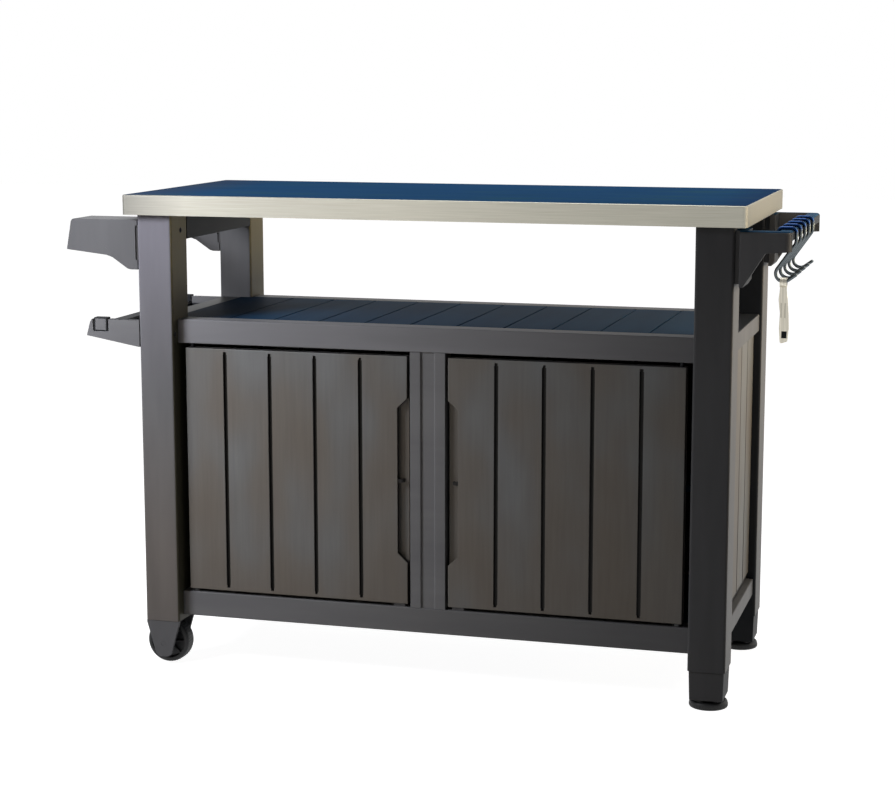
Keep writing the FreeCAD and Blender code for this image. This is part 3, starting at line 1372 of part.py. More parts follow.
def build():
    """Every sub-part of the cart, in the order that it would be put together."""
    pieces = [worktop_sheet(), worktop_core()]
    for end, span, plate in (("front", front_leg, front_plate), ("rear", rear_leg, rear_plate)):
        left = leg("leg_%s_left" % end, LEFT, span, D["left_leg_bottom"])
        screw_passage(left, LEFT, rack_screw_back(plate), D["rack_screw_height"])
        right = leg("leg_%s_right" % end, RIGHT, span, D["right_leg_bottom"])
        pieces += [left, right]
    upper = (D["upper_rail_low"], D["shelf_height"])
    lower = (D["lower_rail_low"], D["floor_height"])
    upper_front = long_rail("upper_front_rail", front_rail, upper, 1)
    hinge_holes(upper_front, D["upper_rail_low"], D["upper_rail_low"] + D["hinge_pin_sunk"])
    lower_front = long_rail("lower_front_rail", front_rail, lower, 1)
    hinge_holes(lower_front, D["floor_height"] - D["hinge_pin_sunk"], D["floor_height"])
    pieces += [upper_front, lower_front]
    pieces += [long_rail("upper_rear_rail", rear_rail, upper, -1)]
    pieces += [long_rail("lower_rear_rail", rear_rail, lower, -1)]
    for name, side in (("left", LEFT), ("right", RIGHT)):
        pieces.append(side_apron("side_apron_" + name, side))
        upper_side = (D["side_rail_upper_low"], D["shelf_height"])
        lower_side = (D["side_rail_lower_low"], D["side_rail_lower_top"])
        pieces.append(side_rail("upper_side_rail_" + name, side, upper_side))
        pieces.append(side_rail("lower_side_rail_" + name, side, lower_side))
        pieces.append(side_panel("side_panel_" + name, side))
        pieces.append(back_panel_board("back_panel_" + name, side))
        pieces.append(inner_shelf("inner_shelf_" + name, side))
        pieces.append(door("door_" + name, side))
        pieces.append(strike_plate("strike_plate_" + name, side))
    shelf_top = D["shelf_height"]
    shelf = notched_board("open_shelf", (shelf_top - D["shelf_board"], shelf_top))
    plank_lines(shelf, shelf_top)
    base = notched_board("cabinet_base", (D["floor_height"] - D["shelf_board"], D["floor_height"]))
    pieces += [shelf, base, centre_post(), middle_board(), rear_joint_strip()]
    pieces += [shelf_pins(), hinge_pins(), hinge_bushes(), catch_magnets()]
    for end, middle in (("front", front_leg_middle), ("rear", rear_leg_middle)):
        pieces.append(wheel_fork("wheel_fork_" + end, middle))
        pieces.append(wheel("wheel_" + end, middle))
        pieces.append(foot_block("foot_block_" + end, middle))
        pieces.append(levelling_foot("levelling_foot_" + end, middle))
    pieces.append(wheel_axles())
    pieces.append(towel_arm("towel_arm_front", front_leg, front_leg[1] - D["socket_depth"]))
    pieces.append(towel_arm("towel_arm_rear", rear_leg, rear_leg[0]))
    pieces.append(towel_rod())
    pieces.append(rack_plate("rack_plate_front", front_plate))
    pieces.append(rack_plate("rack_plate_rear", rear_plate))
    pieces += [rack_rail(), rack_tray(), hook_rail()]
    pieces += [s_hook(number) for number in range(HOOKS)]
    pieces += [bottle_opener(), arm_screws()]
    return pieces


def write(pieces):
    """Checks every object of the document and writes one file for each sub-part."""
    document.recompute()
    for thing in document.Objects:
        if "Invalid" in thing.State or "Error" in thing.State:
            raise RuntimeError(thing.Name + " failed: " + str(thing.State))
    labels = [piece.Label for piece in pieces]
    if len(set(labels)) != len(labels) or len(labels) > 60:
        raise RuntimeError("labels repeat or there are too many")
    os.makedirs("parts", exist_ok=True)
    box = FreeCAD.BoundBox()
    for piece in pieces:
        if piece.Shape.isNull() or not piece.Shape.isValid():
            raise RuntimeError(piece.Label + " has no valid shape")
        box.add(piece.Shape.BoundBox)
        piece.Shape.exportStep(os.path.join("parts", piece.Label + ".step"))
    print(len(pieces), "sub-parts")
    print("low corner", [round(value, 2) for value in (box.XMin, box.YMin, box.ZMin)])
    print("high corner", [round(value, 2) for value in (box.XMax, box.YMax, box.ZMax)])


write(build())
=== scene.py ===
# %% [markdown]
# # A grill cart with storage
#
# This lesson dresses the solids of a grill cart until they look like the real thing: steel over
# moulded resin, five wire hooks, two wheels and two levelling feet. The solids come in as a fixed
# frame, in metres, with +X to the right along the worktop, +Y from the doors to the rear and +Z up.
# Nothing is moved or resized here. A piece whose shape is right keeps its solid and only gets a
# finish, and a piece that needs softer edges or more detail gets a new mesh in the same place.

# %% Load the frame
import json
import math

import bmesh
import bpy
from mathutils import Matrix, Vector


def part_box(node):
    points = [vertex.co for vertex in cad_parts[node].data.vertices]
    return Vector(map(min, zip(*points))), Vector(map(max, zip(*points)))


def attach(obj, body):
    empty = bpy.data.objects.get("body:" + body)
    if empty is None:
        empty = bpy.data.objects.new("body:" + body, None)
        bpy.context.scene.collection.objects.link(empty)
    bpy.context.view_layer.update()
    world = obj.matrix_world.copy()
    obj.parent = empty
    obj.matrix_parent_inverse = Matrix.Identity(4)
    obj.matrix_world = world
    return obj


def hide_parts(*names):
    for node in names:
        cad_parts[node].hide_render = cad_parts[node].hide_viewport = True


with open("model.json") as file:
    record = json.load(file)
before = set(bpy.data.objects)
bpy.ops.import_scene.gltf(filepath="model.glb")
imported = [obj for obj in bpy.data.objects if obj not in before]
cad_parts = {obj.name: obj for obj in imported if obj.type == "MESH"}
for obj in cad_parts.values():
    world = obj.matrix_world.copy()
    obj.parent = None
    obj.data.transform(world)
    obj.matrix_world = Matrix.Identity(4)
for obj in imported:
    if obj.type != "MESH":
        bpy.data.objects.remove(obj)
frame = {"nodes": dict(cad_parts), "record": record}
nodes = frame["nodes"]
body_of_node = {
    node: body
    for body, members in frame["record"]["behaviour"]["bodies"].items()
    for node in members
}
slot_of_node = {row["node"]: row["material_slot"] for row in frame["record"]["subparts"]}
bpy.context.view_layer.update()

# %% [markdown]
# ## Where things are
#
# The drawing of the cart counts from the middle of the worktop and from its front edge, in
# millimetres. One helper turns such a place into a point of the frame, so that every size below
# can be read off the drawing. The worktop's own box gives the middle.

# %% Places
MM = 0.001
top_low, top_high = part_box("worktop_sheet")
MIDDLE_X = (top_low.x + top_high.x) / 2
FRONT_Y = top_low.y


def place(x, y, z):
    """A point from millimetres: right of the middle, behind the front edge, above the floor."""
    return Vector((MIDDLE_X + x * MM, FRONT_Y + y * MM, z * MM))


print("middle of the worktop at x =", round(MIDDLE_X, 5), "and its front edge at y =", round(FRONT_Y, 5))

# %% [markdown]
# ## The camera
#
# The photograph was taken from the right of the cart and a little above the worktop, from about
# four metres, with a longish lens: the doors' edges stay nearly parallel, and a thin wedge of the
# right side shows. The lens and the place were found by fitting the cart's straight edges.

# %% Camera
CAMERA = {"lens": 82.35, "place": (1.06576, -3.73607, 1.13828),
          "down": 0.16271, "roll": 0.00017, "turn": 0.27872}
camera_data = bpy.data.cameras.new("camera")
camera_data.sensor_width = 36
camera_data.lens = CAMERA["lens"]
camera = bpy.data.objects.new("camera", camera_data)
camera.location = CAMERA["place"]
camera.rotation_euler = (math.pi / 2 - CAMERA["down"], CAMERA["roll"], CAMERA["turn"])
bpy.context.scene.collection.objects.link(camera)
bpy.context.scene.camera = camera
print("camera", [round(value, 3) for value in camera.location], "lens", camera_data.lens, "mm")

# %% [markdown]
# ## Nodes and colours
#
# Every finish below is a small tree of nodes. One function adds a node with its settings and its
# links. Colours are written as they look on a screen, in sRGB, and another function turns them
# into the linear numbers that the shader adds up. A colour mix has several sockets of one name,
# so its sockets are given by number.

# %% Nodes and colours
MATHS = "ShaderNodeMath"
FACTOR, BELOW, ABOVE = 0, 6, 7


def linear(code):
    """A screen colour such as 8a8a8a as linear red, green, blue and alpha."""
    parts = [int(code[start:start + 2], 16) / 255 for start in (0, 2, 4)]
    return tuple(c / 12.92 if c <= 0.04045 else ((c + 0.055) / 1.055) ** 2.4 for c in parts) + (1.0,)


def add_node(tree, kind, inputs=None, stops=None, **properties):
    """Adds a node and sets it up: an input gets a value, or the node or socket that feeds it."""
    node = tree.nodes.new(kind)
    for name, value in properties.items():
        setattr(node, name, value)
    if stops:
        elements = node.color_ramp.elements
        while len(elements) < len(stops):
            elements.new(0.5)
        for element, (position, code) in zip(elements, stops):
            element.position = position
            element.color = linear(code)
    for name, value in (inputs or {}).items():
        if isinstance(value, bpy.types.Node):
            value = next(socket for socket in value.outputs if socket.enabled)
        if isinstance(value, bpy.types.NodeSocket):
            tree.links.new(value, node.inputs[name])
        else:
            node.inputs[name].default_value = value
    return node


def new_material(name, **constants):
    """A material with one Principled shader, its constant numbers set on its own sockets."""
    material = bpy.data.materials.new(name)
    material.use_nodes = True
    shader = material.node_tree.nodes["Principled BSDF"]
    for socket, value in constants.items():
        shader.inputs[socket.replace("_", " ")].default_value = value
    return material, material.node_tree, shader


print("mid grey 808080 is", [round(value, 4) for value in linear("808080")[:3]], "in linear")

# %% [markdown]
# ## Patterns, relief and slow changes
#
# Patterns are laid out in Object coordinates. These are metres here, so a noise with features of
# n millimetres has a scale of 1000 / n. A relief is a stack of such patterns, each with a depth of
# its own. The last helper lays a slow change of colour over a finish, along one axis, and so paints
# light and shade into the colour: the fall-off of the light along the cart, the warm light that bare
# steel throws back, the blue of the sky that steel mirrors, and the shade of a corner that no light
# reaches.

# %% Patterns, relief and slow changes


def per_mm(size):
    """The scale of a pattern whose features measure so many millimetres."""
    return 1 / (size * MM)


def stretched_noise(tree, size, stretch, detail=3.0, roughness=0.55):
    """A noise of so many millimetres, drawn out along an axis by the factors of stretch."""
    where = add_node(tree, "ShaderNodeTexCoord")
    scales = tuple(1 / factor for factor in stretch)
    mapping = add_node(tree, "ShaderNodeMapping", {"Vector": where.outputs["Object"], "Scale": scales})
    return add_node(tree, "ShaderNodeTexNoise",
                    {"Vector": mapping, "Scale": per_mm(size), "Detail": detail, "Roughness": roughness})


def give_relief(tree, shader, *layers):
    """Stacks patterns as relief on a shader, each so many millimetres deep."""
    relief = None
    for pattern, depth in layers:
        inputs = {"Height": pattern, "Distance": depth * MM, "Strength": 1.0}
        if relief:
            inputs["Normal"] = relief
        relief = add_node(tree, "ShaderNodeBump", inputs)
    tree.links.new(relief.outputs["Normal"], shader.inputs["Normal"])


def lay_over(material, factor, above, blend="MIX"):
    """Mixes a colour over all that a material has as its base colour so far."""
    tree = material.node_tree
    colour = tree.nodes["Principled BSDF"].inputs["Base Color"]
    mixed = add_node(tree, "ShaderNodeMix",
                     {FACTOR: factor, BELOW: colour.links[0].from_socket, ABOVE: above},
                     data_type="RGBA", blend_type=blend)
    tree.links.new(next(socket for socket in mixed.outputs if socket.enabled), colour)


def object_place(tree):
    """The node that splits a place on a piece into X, Y and Z."""
    where = add_node(tree, "ShaderNodeTexCoord")
    return add_node(tree, "ShaderNodeSeparateXYZ", {"Vector": where.outputs["Object"]})


def along_axis(material, axis, first, last, stops, blend="MULTIPLY"):
    """Lays a slow change of colour over a material, between two places on an axis, in metres."""
    tree = material.node_tree
    share = add_node(tree, "ShaderNodeMapRange",
                     {"Value": object_place(tree).outputs[axis], "From Min": first, "From Max": last})
    lay_over(material, 1.0, add_node(tree, "ShaderNodeValToRGB", {"Fac": share}, stops), blend)


print("a pattern of 5 mm has a scale of", round(per_mm(5)))

# %% [markdown]
# ## Resin
#
# The cart's frame, doors and boards are polypropylene, moulded in steel tools whose faces were
# etched. That leaves a satin skin with a fine grit, and a long shallow grain that imitates wood.
# The grit of the real skin is about 0.3 mm, too fine for this camera, so it is drawn at 1.2 mm. The
# plastic is dyed through, so it has no coat and its colour only drifts a little. Grain runs along
# a piece, about 5 mm wide, so there is one batch for upright pieces, one for pieces from left to
# right and one for pieces from front to rear.

# %% Resin for the frame
UPRIGHT, SIDEWAYS, BACKWARDS, NO_GRAIN = (1, 1, 6), (8, 1, 1), (1, 6, 1), (1, 1, 1)
GRAIN_MM = 5.0


def moulded_resin(name, dark, light, grain, roughness=0.5, gloss=0.1, drift=60, grit=1.2,
                  grit_depth=0.03, grain_depth=0.04):
    """Dyed resin: a slow drift of colour, a fine grit and a grain along one axis."""
    material, tree, shader = new_material(name, Roughness=roughness, Specular_IOR_Level=gloss)
    clouds = stretched_noise(tree, drift, grain)
    tone = add_node(tree, "ShaderNodeValToRGB", {"Fac": clouds}, [(0.35, dark), (0.65, light)])
    tree.links.new(tone.outputs["Color"], shader.inputs["Base Color"])
    give_relief(tree, shader,
                (stretched_noise(tree, GRAIN_MM, grain, detail=4.0), grain_depth),
                (stretched_noise(tree, grit, NO_GRAIN, detail=2.0), grit_depth))
    return material


# Graphite polypropylene of the upright pieces: a neutral dark grey that grazing light brightens
frame_resin = moulded_resin("graphite_polypropylene", "585859", "616162", UPRIGHT, gloss=0.15)
# The same resin, a little paler, where the pieces run from left to right
rail_resin = moulded_resin("graphite_polypropylene_rails", "6a6a6b", "737373", SIDEWAYS)
# Painted shade: a near-black resin for what lies in shade, the boards under the worktop and the rack's tray
shaded_resin = moulded_resin("charcoal_polypropylene_painted_shade", "232528", "292b2e", BACKWARDS, roughness=0.55)
print("resins:", frame_resin.name, rail_resin.name, shaded_resin.name)

# %% [markdown]
# The two long front rails are the cart's longest mouldings. Each has a finish of its own with
# painted light: it pales by a few steps from its right end to its left one, as the light from the
# left falls off along it. The change is a colour ramp along the rail, multiplied over the resin, so
# that grain and grit stay as they are.

# %% Resin for the long rails
RAIL_HALF = 0.49
upper_rail_resin = moulded_resin("graphite_polypropylene_upper_rail", "757576", "7e7e7f", SIDEWAYS)
# Painted light: the upper rail darkens towards its right end
along_axis(upper_rail_resin, "X", MIDDLE_X - RAIL_HALF, MIDDLE_X + RAIL_HALF,
           [(0.0, "fdfdff"), (0.6, "ffffff"), (1.0, "d7d7d7")])
lower_rail_resin = moulded_resin("graphite_polypropylene_lower_rail", "6a6a6b", "737373", SIDEWAYS)
# Painted light: the lower rail darkens towards its right end
along_axis(lower_rail_resin, "X", MIDDLE_X - RAIL_HALF, MIDDLE_X + RAIL_HALF,
           [(0.0, "ffffff"), (0.5, "efefee"), (1.0, "e6e6e6")])
print("rails:", upper_rail_resin.name, lower_rail_resin.name)

# %% [markdown]
# The open shelf and the cabinet's boards are a dark grey with a matt upper face, and their blue is
# a painted reflection of the blue sky. A low specular level keeps them matt at the flat angle from
# which the camera sees the shelf. The shelf's left end lies in the leg's shade and has hardly any
# blue, so a ramp paints that shade there.

# %% Resin for the boards
# Painted reflection: the boards' blue is the sky they mirror
board_resin = moulded_resin("slate_polypropylene_painted_sky", "1b354e", "213e58", BACKWARDS, roughness=0.6,
                            gloss=0.02, drift=80, grain_depth=0.05)
# Painted shade at the shelf's left end
along_axis(board_resin, "X", MIDDLE_X - 0.55, MIDDLE_X - 0.25,
           [(0.0, "747474"), (0.35, "7e98a2"), (0.75, "9cf2ff"), (1.0, "f0ffff")])
print("boards:", board_resin.name)

# %% [markdown]
# The legs are large plain faces, so small differences show on them. Light and shade are painted on
# them: the left front leg's front is painted paler at its top and warmer at its foot, the left legs'
# inner faces get a painted khaki bounce of the light that the steel above throws back, and the right
# front leg's front is painted a shade deeper. Each becomes a finish of its own, and the chosen faces
# of a leg get it further down.

# %% Resin for the legs' faces
# Painted light on the left front leg's front: paler at the top, warmer at the foot
lit_resin = moulded_resin("graphite_polypropylene_painted_light", "6f6f70", "7a7a7b", UPRIGHT, gloss=0.15)
along_axis(lit_resin, "Z", 0.22, 0.82, [(0.0, "e4dacf"), (0.5, "d5d5d4"), (1.0, "f7f4ff")])
# Painted bounce: the khaki light that the steel above throws back, fading downwards
painted_bounce_resin = moulded_resin("graphite_polypropylene_painted_bounce", "8c835f", "948b69", UPRIGHT, gloss=0.15)
along_axis(painted_bounce_resin, "Z", 0.70, 0.86, [(0.0, "7d808d"), (1.0, "ffffff")])
# Painted shade on the fronts of the right front leg and its foot block
painted_half_shade_resin = moulded_resin("graphite_polypropylene_painted_half_shade", "474748", "4e4e4f", UPRIGHT)
print("legs:", lit_resin.name, painted_bounce_resin.name, painted_half_shade_resin.name)

# %% [markdown]
# ## Planks
#
# Doors and panels are moulded as rows of planks. Each plank comes out a shade warmer or greener
# than its neighbour, because the tool's etching differs from plank to plank. The tree finds a
# plank's number from its distance to the cart's middle, draws a random tone for it, and mixes that
# with soft clouds and a paling with height. The doors mirror each other, so the right door's
# planks get numbers far from the left one's, and with them tones of their own.

# %% Plank tones
# The first groove and the pitch are in millimetres, the origin and the face are places in the frame
DOOR_PLANKS = {"across": "X", "origin": MIDDLE_X, "first": 129, "pitch": 88.4, "mirrored": True,
               "inwards": "Y", "face": place(0, 40, 0).y, "sign": 1.0}
SIDE_PLANKS = {"across": "Y", "origin": place(0, 93, 0).y, "first": 0, "pitch": 81.0, "mirrored": False,
               "inwards": "X", "face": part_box("side_panel_right")[1].x, "sign": -1.0}
CLOUD_MM = 110
PALING = {"from": 0.38, "per_metre": 0.45}
OWN_TONE = 0.2
DOORS_APART = 10.0


def plank_tone(tree, planks, parts, along, side):
    """A colour for each plank by its number, with clouds, and paler towards the top."""
    pitches = add_node(tree, MATHS, {0: along, 1: planks["pitch"] * MM}, operation="DIVIDE")
    number = add_node(tree, MATHS, {0: pitches}, operation="FLOOR")
    if planks["mirrored"]:
        number = add_node(tree, MATHS, {0: side, 1: DOORS_APART, 2: number}, operation="MULTIPLY_ADD")
    lot = add_node(tree, "ShaderNodeTexWhiteNoise", {"W": number}, noise_dimensions="1D")
    level = -PALING["from"] * PALING["per_metre"] - OWN_TONE / 2
    rising = add_node(tree, MATHS, {0: parts.outputs["Z"], 1: PALING["per_metre"], 2: level},
                      operation="MULTIPLY_ADD")
    own = add_node(tree, MATHS, {0: lot, 1: OWN_TONE, 2: rising}, operation="MULTIPLY_ADD")
    clouds = stretched_noise(tree, CLOUD_MM, (1, 1, 1.7), detail=1.5, roughness=0.4)
    tone = add_node(tree, MATHS, {0: own, 1: clouds}, operation="ADD")
    return add_node(tree, "ShaderNodeValToRGB", {"Fac": tone},
                    [(0.3, "69635b"), (0.48, "6c6862"), (0.6, "6d6c69"), (0.75, "727372")])


print("planks of", DOOR_PLANKS["pitch"], "mm on the doors and", SIDE_PLANKS["pitch"], "mm on the sides")

# %% [markdown]
# A groove's walls and floor lie in shade, so the tree paints that shade: it darkens what lies deeper
# than the face, down to the groove's floor. A door's grooves also round over into the face, and that
# rounding lies in the groove's shade, so a narrow line beside each groove gets painted shade too.

# %% Groove shade
GROOVE = {"middle": 382, "reach": 221, "margin": 10,
          "wall": (0.6, 1.4), "floor": (8.5, 9.5), "rounding": (3.6, 4.4)}


def in_groove(tree, planks, parts):
    """1 on the walls and the floor of a groove, 0 on the face and on the plank's back."""
    ends = []
    for first, last in (GROOVE["wall"], GROOVE["floor"]):
        limits = [planks["face"] + planks["sign"] * depth * MM for depth in (first, last)]
        ends.append(add_node(tree, "ShaderNodeMapRange",
                             {"Value": parts.outputs[planks["inwards"]], "From Min": limits[0],
                              "From Max": limits[1]}))
    return add_node(tree, MATHS, {0: ends[0], 1: ends[1]}, operation="SUBTRACT", use_clamp=True)


def beside_groove(tree, planks, parts, across, along):
    """1 on the face just beside a door's groove, where the groove rounds over."""
    aside = add_node(tree, MATHS, {0: along, 1: planks["pitch"] / 2 * MM}, operation="PINGPONG")
    first, last = (width * MM for width in GROOVE["rounding"])
    near = add_node(tree, "ShaderNodeMapRange",
                    {"Value": aside, "From Min": first, "From Max": last, "To Min": 1.0, "To Max": 0.0})
    # The pattern would go on past the first groove, where the door has none
    from_first = (planks["first"] - GROOVE["margin"]) * MM
    has_groove = add_node(tree, MATHS, {0: across, 1: from_first}, operation="GREATER_THAN")
    middle, reach = GROOVE["middle"] * MM, GROOVE["reach"] * MM
    in_length = add_node(tree, MATHS, {0: parts.outputs["Z"], 1: middle, 2: reach}, operation="COMPARE")
    line = add_node(tree, MATHS, {0: near, 1: has_groove}, operation="MULTIPLY")
    return add_node(tree, MATHS, {0: line, 1: in_length}, operation="MULTIPLY")


print("grooves are", 2 * GROOVE["reach"], "mm long on the doors")

# %% [markdown]
# The finish itself is the plank's tone under long wood grain, with the grooves' painted shade laid
# over both. The grain is drawn 7 mm wide and 20 times as long, as it is on the doors.

# %% Plank finish
WOOD_GRAIN_MM = 7.0
GRIT_MM = 1.2


def planked_resin(name, planks):
    """Moulded planks across an axis, each with a tone of its own, long grain and painted shade in the grooves.
    """
    material, tree, shader = new_material(name, Roughness=0.5, Specular_IOR_Level=0.15)
    parts, side = object_place(tree), None
    across = add_node(tree, MATHS, {0: parts.outputs[planks["across"]], 1: planks["origin"]},
                      operation="SUBTRACT")
    if planks["mirrored"]:
        side = add_node(tree, MATHS, {0: across}, operation="SIGN")
        across = add_node(tree, MATHS, {0: across}, operation="ABSOLUTE")
    along = add_node(tree, MATHS, {0: across, 1: planks["first"] * MM}, operation="SUBTRACT")
    tone = plank_tone(tree, planks, parts, along, side)
    tree.links.new(tone.outputs["Color"], shader.inputs["Base Color"])
    grain = stretched_noise(tree, WOOD_GRAIN_MM, (1, 1, 20), detail=5.0, roughness=0.6)
    streaks = add_node(tree, "ShaderNodeValToRGB", {"Fac": grain}, [(0.3, "f2f2f2"), (0.7, "ffffff")])
    lay_over(material, 1.0, streaks, "MULTIPLY")
    shade = in_groove(tree, planks, parts)
    if planks["mirrored"]:
        line = beside_groove(tree, planks, parts, across, along)
        shade = add_node(tree, MATHS, {0: shade, 1: line}, operation="MAXIMUM")
    # Painted shade in the grooves and on their rounding
    lay_over(material, shade, linear("1d1c1b"))
    give_relief(tree, shader, (grain, 0.05), (stretched_noise(tree, GRIT_MM, NO_GRAIN, detail=2.0), 0.03))
    return material


door_resin = planked_resin("planked_polypropylene", DOOR_PLANKS)
side_resin = planked_resin("planked_polypropylene_sides", SIDE_PLANKS)
print("planks:", door_resin.name, "with", len(door_resin.node_tree.nodes), "nodes,", side_resin.name)

# %% [markdown]
# ## Steel
#
# The worktop is one sheet of stainless steel, brushed from left to right and folded down on all
# four sides. Brushing leaves thousands of fine scratches that blur a reflection across them. They
# are drawn 0.8 mm apart, wider than the real 0.1 mm, and 120 times as long. The opener is stamped
# from the same steel, brushed along its blade, and the hooks are drawn wire, which is smoother.
# Screws and axles are zinc-plated, and the doors' hinge pins carry the painted shade of their gap.

# %% Steel finishes


def brushed_steel(name, colour, dull, roughness, stretch, depth=0.02, size=0.8):
    """Metal with fine scratches along the stretched axis, a little duller in places."""
    material, tree, shader = new_material(name, Metallic=1.0, Roughness=roughness)
    lines = stretched_noise(tree, size, stretch, detail=2.0)
    tone = add_node(tree, "ShaderNodeValToRGB", {"Fac": lines}, [(0.3, dull), (0.7, colour)])
    tree.links.new(tone.outputs["Color"], shader.inputs["Base Color"])
    give_relief(tree, shader, (lines, depth))
    return material


# Brushed stainless steel, warm grey, with its brushing along the worktop
rim_steel = brushed_steel("brushed_stainless_steel", "bfbdb1", "b0aea2", 0.62, (120, 1, 1))
# Painted shade: the steel is darkened towards the left corner and on the end face
along_axis(rim_steel, "X", top_low.x, top_high.x,
           [(0.0, "a9a9ab"), (0.11, "e8e8e8"), (0.3, "f0f0f0"), (0.45, "ffffff"),
            (0.9995, "fbfbfb"), (1.0, "bcbcbc")])
# Satin stainless steel of the opener: its scratches are drawn 2.2 mm apart, so that they show
opener_steel = brushed_steel("satin_stainless_steel", "e6e1d2", "bdb8aa", 0.42, (1, 1, 60), 0.01, size=2.2)
# Painted shade: the floor of its two flutes is a darker, duller steel
flute_shade_steel = brushed_steel("stainless_steel_painted_flute_shade", "c6c2b5", "b2aea2", 0.5, (1, 1, 40), 0.01)
# Bright drawn wire: smooth, so that it mirrors the studio in thin lines
wire_steel = brushed_steel("drawn_steel_wire", "5f6669", "4f5659", 0.26, (20, 20, 20), 0.002)
# Painted reflection: over the bar the wire takes the blue of the sky, as the worktop next to it does
along_axis(wire_steel, "Z", 0.848, 0.856, [(0.0, "5a6164"), (1.0, "1b3560")], blend="MIX")
# Zinc-plated steel of the screws and axles: bluish and slightly cloudy
zinc_steel = brushed_steel("zinc_plated_steel", "6b6d72", "595b60", 0.45, (1, 1, 1), 0.004)
# Near-black steel of the doors' hinge pins: painted shade of the gap above the doors, where they hide
gap_shade_steel = brushed_steel("hinge_pin_steel_painted_shade", "2a2b2d", "1f2022", 0.55, (1, 1, 1), 0.004)
print("metals:", rim_steel.name, opener_steel.name, wire_steel.name, zinc_steel.name)

# %% [markdown]
# ## The painted blue sky
#
# The worktop's upper face gets a painted reflection of the blue sky, a matt blue that hides the
# metal's shine. It is a finish of its own, not a see-through layer. The painted blue drifts in
# patches along the worktop, and it is greyer at the left end.

# %% Painted sky
# Painted reflection of the blue sky: quite matt, so its blue is the same from every side
painted_sky, painted_sky_tree, painted_sky_shader = new_material("painted_blue_sky_reflection", Roughness=0.6, Specular_IOR_Level=0.0)
painted_sky_drift = stretched_noise(painted_sky_tree, 90, (3, 1, 1), detail=3.0)
painted_sky_colour = add_node(painted_sky_tree, "ShaderNodeValToRGB", {"Fac": painted_sky_drift},
                       [(0.3, "333f5a"), (0.5, "334062"), (0.7, "3a455a")])
painted_sky_tree.links.new(painted_sky_colour.outputs["Color"], painted_sky_shader.inputs["Base Color"])
# Painted reflection: greyer at the left end
along_axis(painted_sky, "X", top_low.x, top_high.x,
           [(0.0, "ffffe1"), (0.12, "b5ffff"), (0.93, "b5ffff"), (1.0, "b5dde4")])
give_relief(painted_sky_tree, painted_sky_shader, (stretched_noise(painted_sky_tree, 2.0, (60, 1, 1), detail=2.0), 0.03))
print("film:", painted_sky.name)

# %% [markdown]
# ## Small plastics
#
# Wheels, feet and the rings under the doors are black nylon, harder and a little glossier than the
# frame. The worktop's ribbed core is left as it comes from the tool. The towel rod is turned by
# hands and cloths, which polish it. The magnets are bare ferrite, a dull ceramic. With these, every
# material slot of the record has its finish.

# %% Small finishes
# Black nylon: nearly black, with a soft shine on its roundings
black_nylon = moulded_resin("black_nylon", "1e1f20", "252627", NO_GRAIN, roughness=0.45, gloss=0.3,
                            drift=30, grit=1.0, grit_depth=0.02, grain_depth=0.01)
# Unfinished polypropylene of the core: dark and rough
core_resin = moulded_resin("core_polypropylene", "232425", "2a2b2c", NO_GRAIN, roughness=0.6, gloss=0.25,
                           grit=1.5, grit_depth=0.05, grain_depth=0.02)
# Polypropylene of the rod: the frame's grey with more shine
rod_resin = moulded_resin("rod_polypropylene", "3c3c3f", "434346", (1, 8, 1), roughness=0.42, gloss=0.35,
                          drift=40, grit_depth=0.02, grain_depth=0.02)
# Bare ferrite: a grey, grainy ceramic
ferrite = moulded_resin("bare_ferrite", "4c4c4e", "5a5a5c", NO_GRAIN, roughness=0.6, gloss=0.4,
                        drift=10, grit=0.6, grain_depth=0.01)
FINISHES = {
    "stainless_top": rim_steel, "resin_frame": frame_resin, "resin_planks": door_resin,
    "resin_boards": board_resin, "core_plastic": core_resin, "black_plastic": black_nylon,
    "rod_plastic": rod_resin, "hook_steel": wire_steel, "opener_steel": opener_steel,
    "zinc_steel": zinc_steel, "magnet": ferrite}

# %% [markdown]
# ## The rack's rail
#
# The small rack's rail ends in a square block at the front plate. Its margin is sunk by less than
# a millimetre, and the shade in it reads as a dark square line. A relief that shallow is drawn as
# painted shade: the tree takes the larger of the two distances from the block's middle, which is the
# same all round a square, and darkens what lies beyond the block on the front face.

# %% Rack finish
# The resin of the rails with its grain from front to rear
rack_resin = moulded_resin("graphite_polypropylene_rack", "6a6a6b", "737373", BACKWARDS)
BLOCK = {"middle": place(-634.5, 0, 655), "half": 10.6 * MM, "front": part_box("rack_rail")[0].y}
rack_tree = rack_resin.node_tree
rack_parts = object_place(rack_tree)
offsets = []
for axis, middle in (("X", BLOCK["middle"].x), ("Z", BLOCK["middle"].z)):
    offset = add_node(rack_tree, MATHS, {0: rack_parts.outputs[axis], 1: middle}, operation="SUBTRACT")
    offsets.append(add_node(rack_tree, MATHS, {0: offset}, operation="ABSOLUTE"))
widest = add_node(rack_tree, MATHS, {0: offsets[0], 1: offsets[1]}, operation="MAXIMUM")
margin = add_node(rack_tree, MATHS, {0: widest, 1: BLOCK["half"]}, operation="GREATER_THAN")
at_front = add_node(rack_tree, MATHS, {0: rack_parts.outputs["Y"], 1: BLOCK["front"] + MM},
                    operation="LESS_THAN")
sunk = add_node(rack_tree, MATHS, {0: margin, 1: at_front}, operation="MULTIPLY")
# Painted shade in the sunk margin round the block
lay_over(rack_resin, sunk, linear("232426"))
print("rack:", rack_resin.name, "with", len(rack_tree.nodes), "nodes")

# %% [markdown]
# ## Finishes on the solids
#
# First every solid gets a finish: one of its own where the list names it, or else that of its slot.
# A solid that is replaced further down stays hidden, but it keeps this finish.

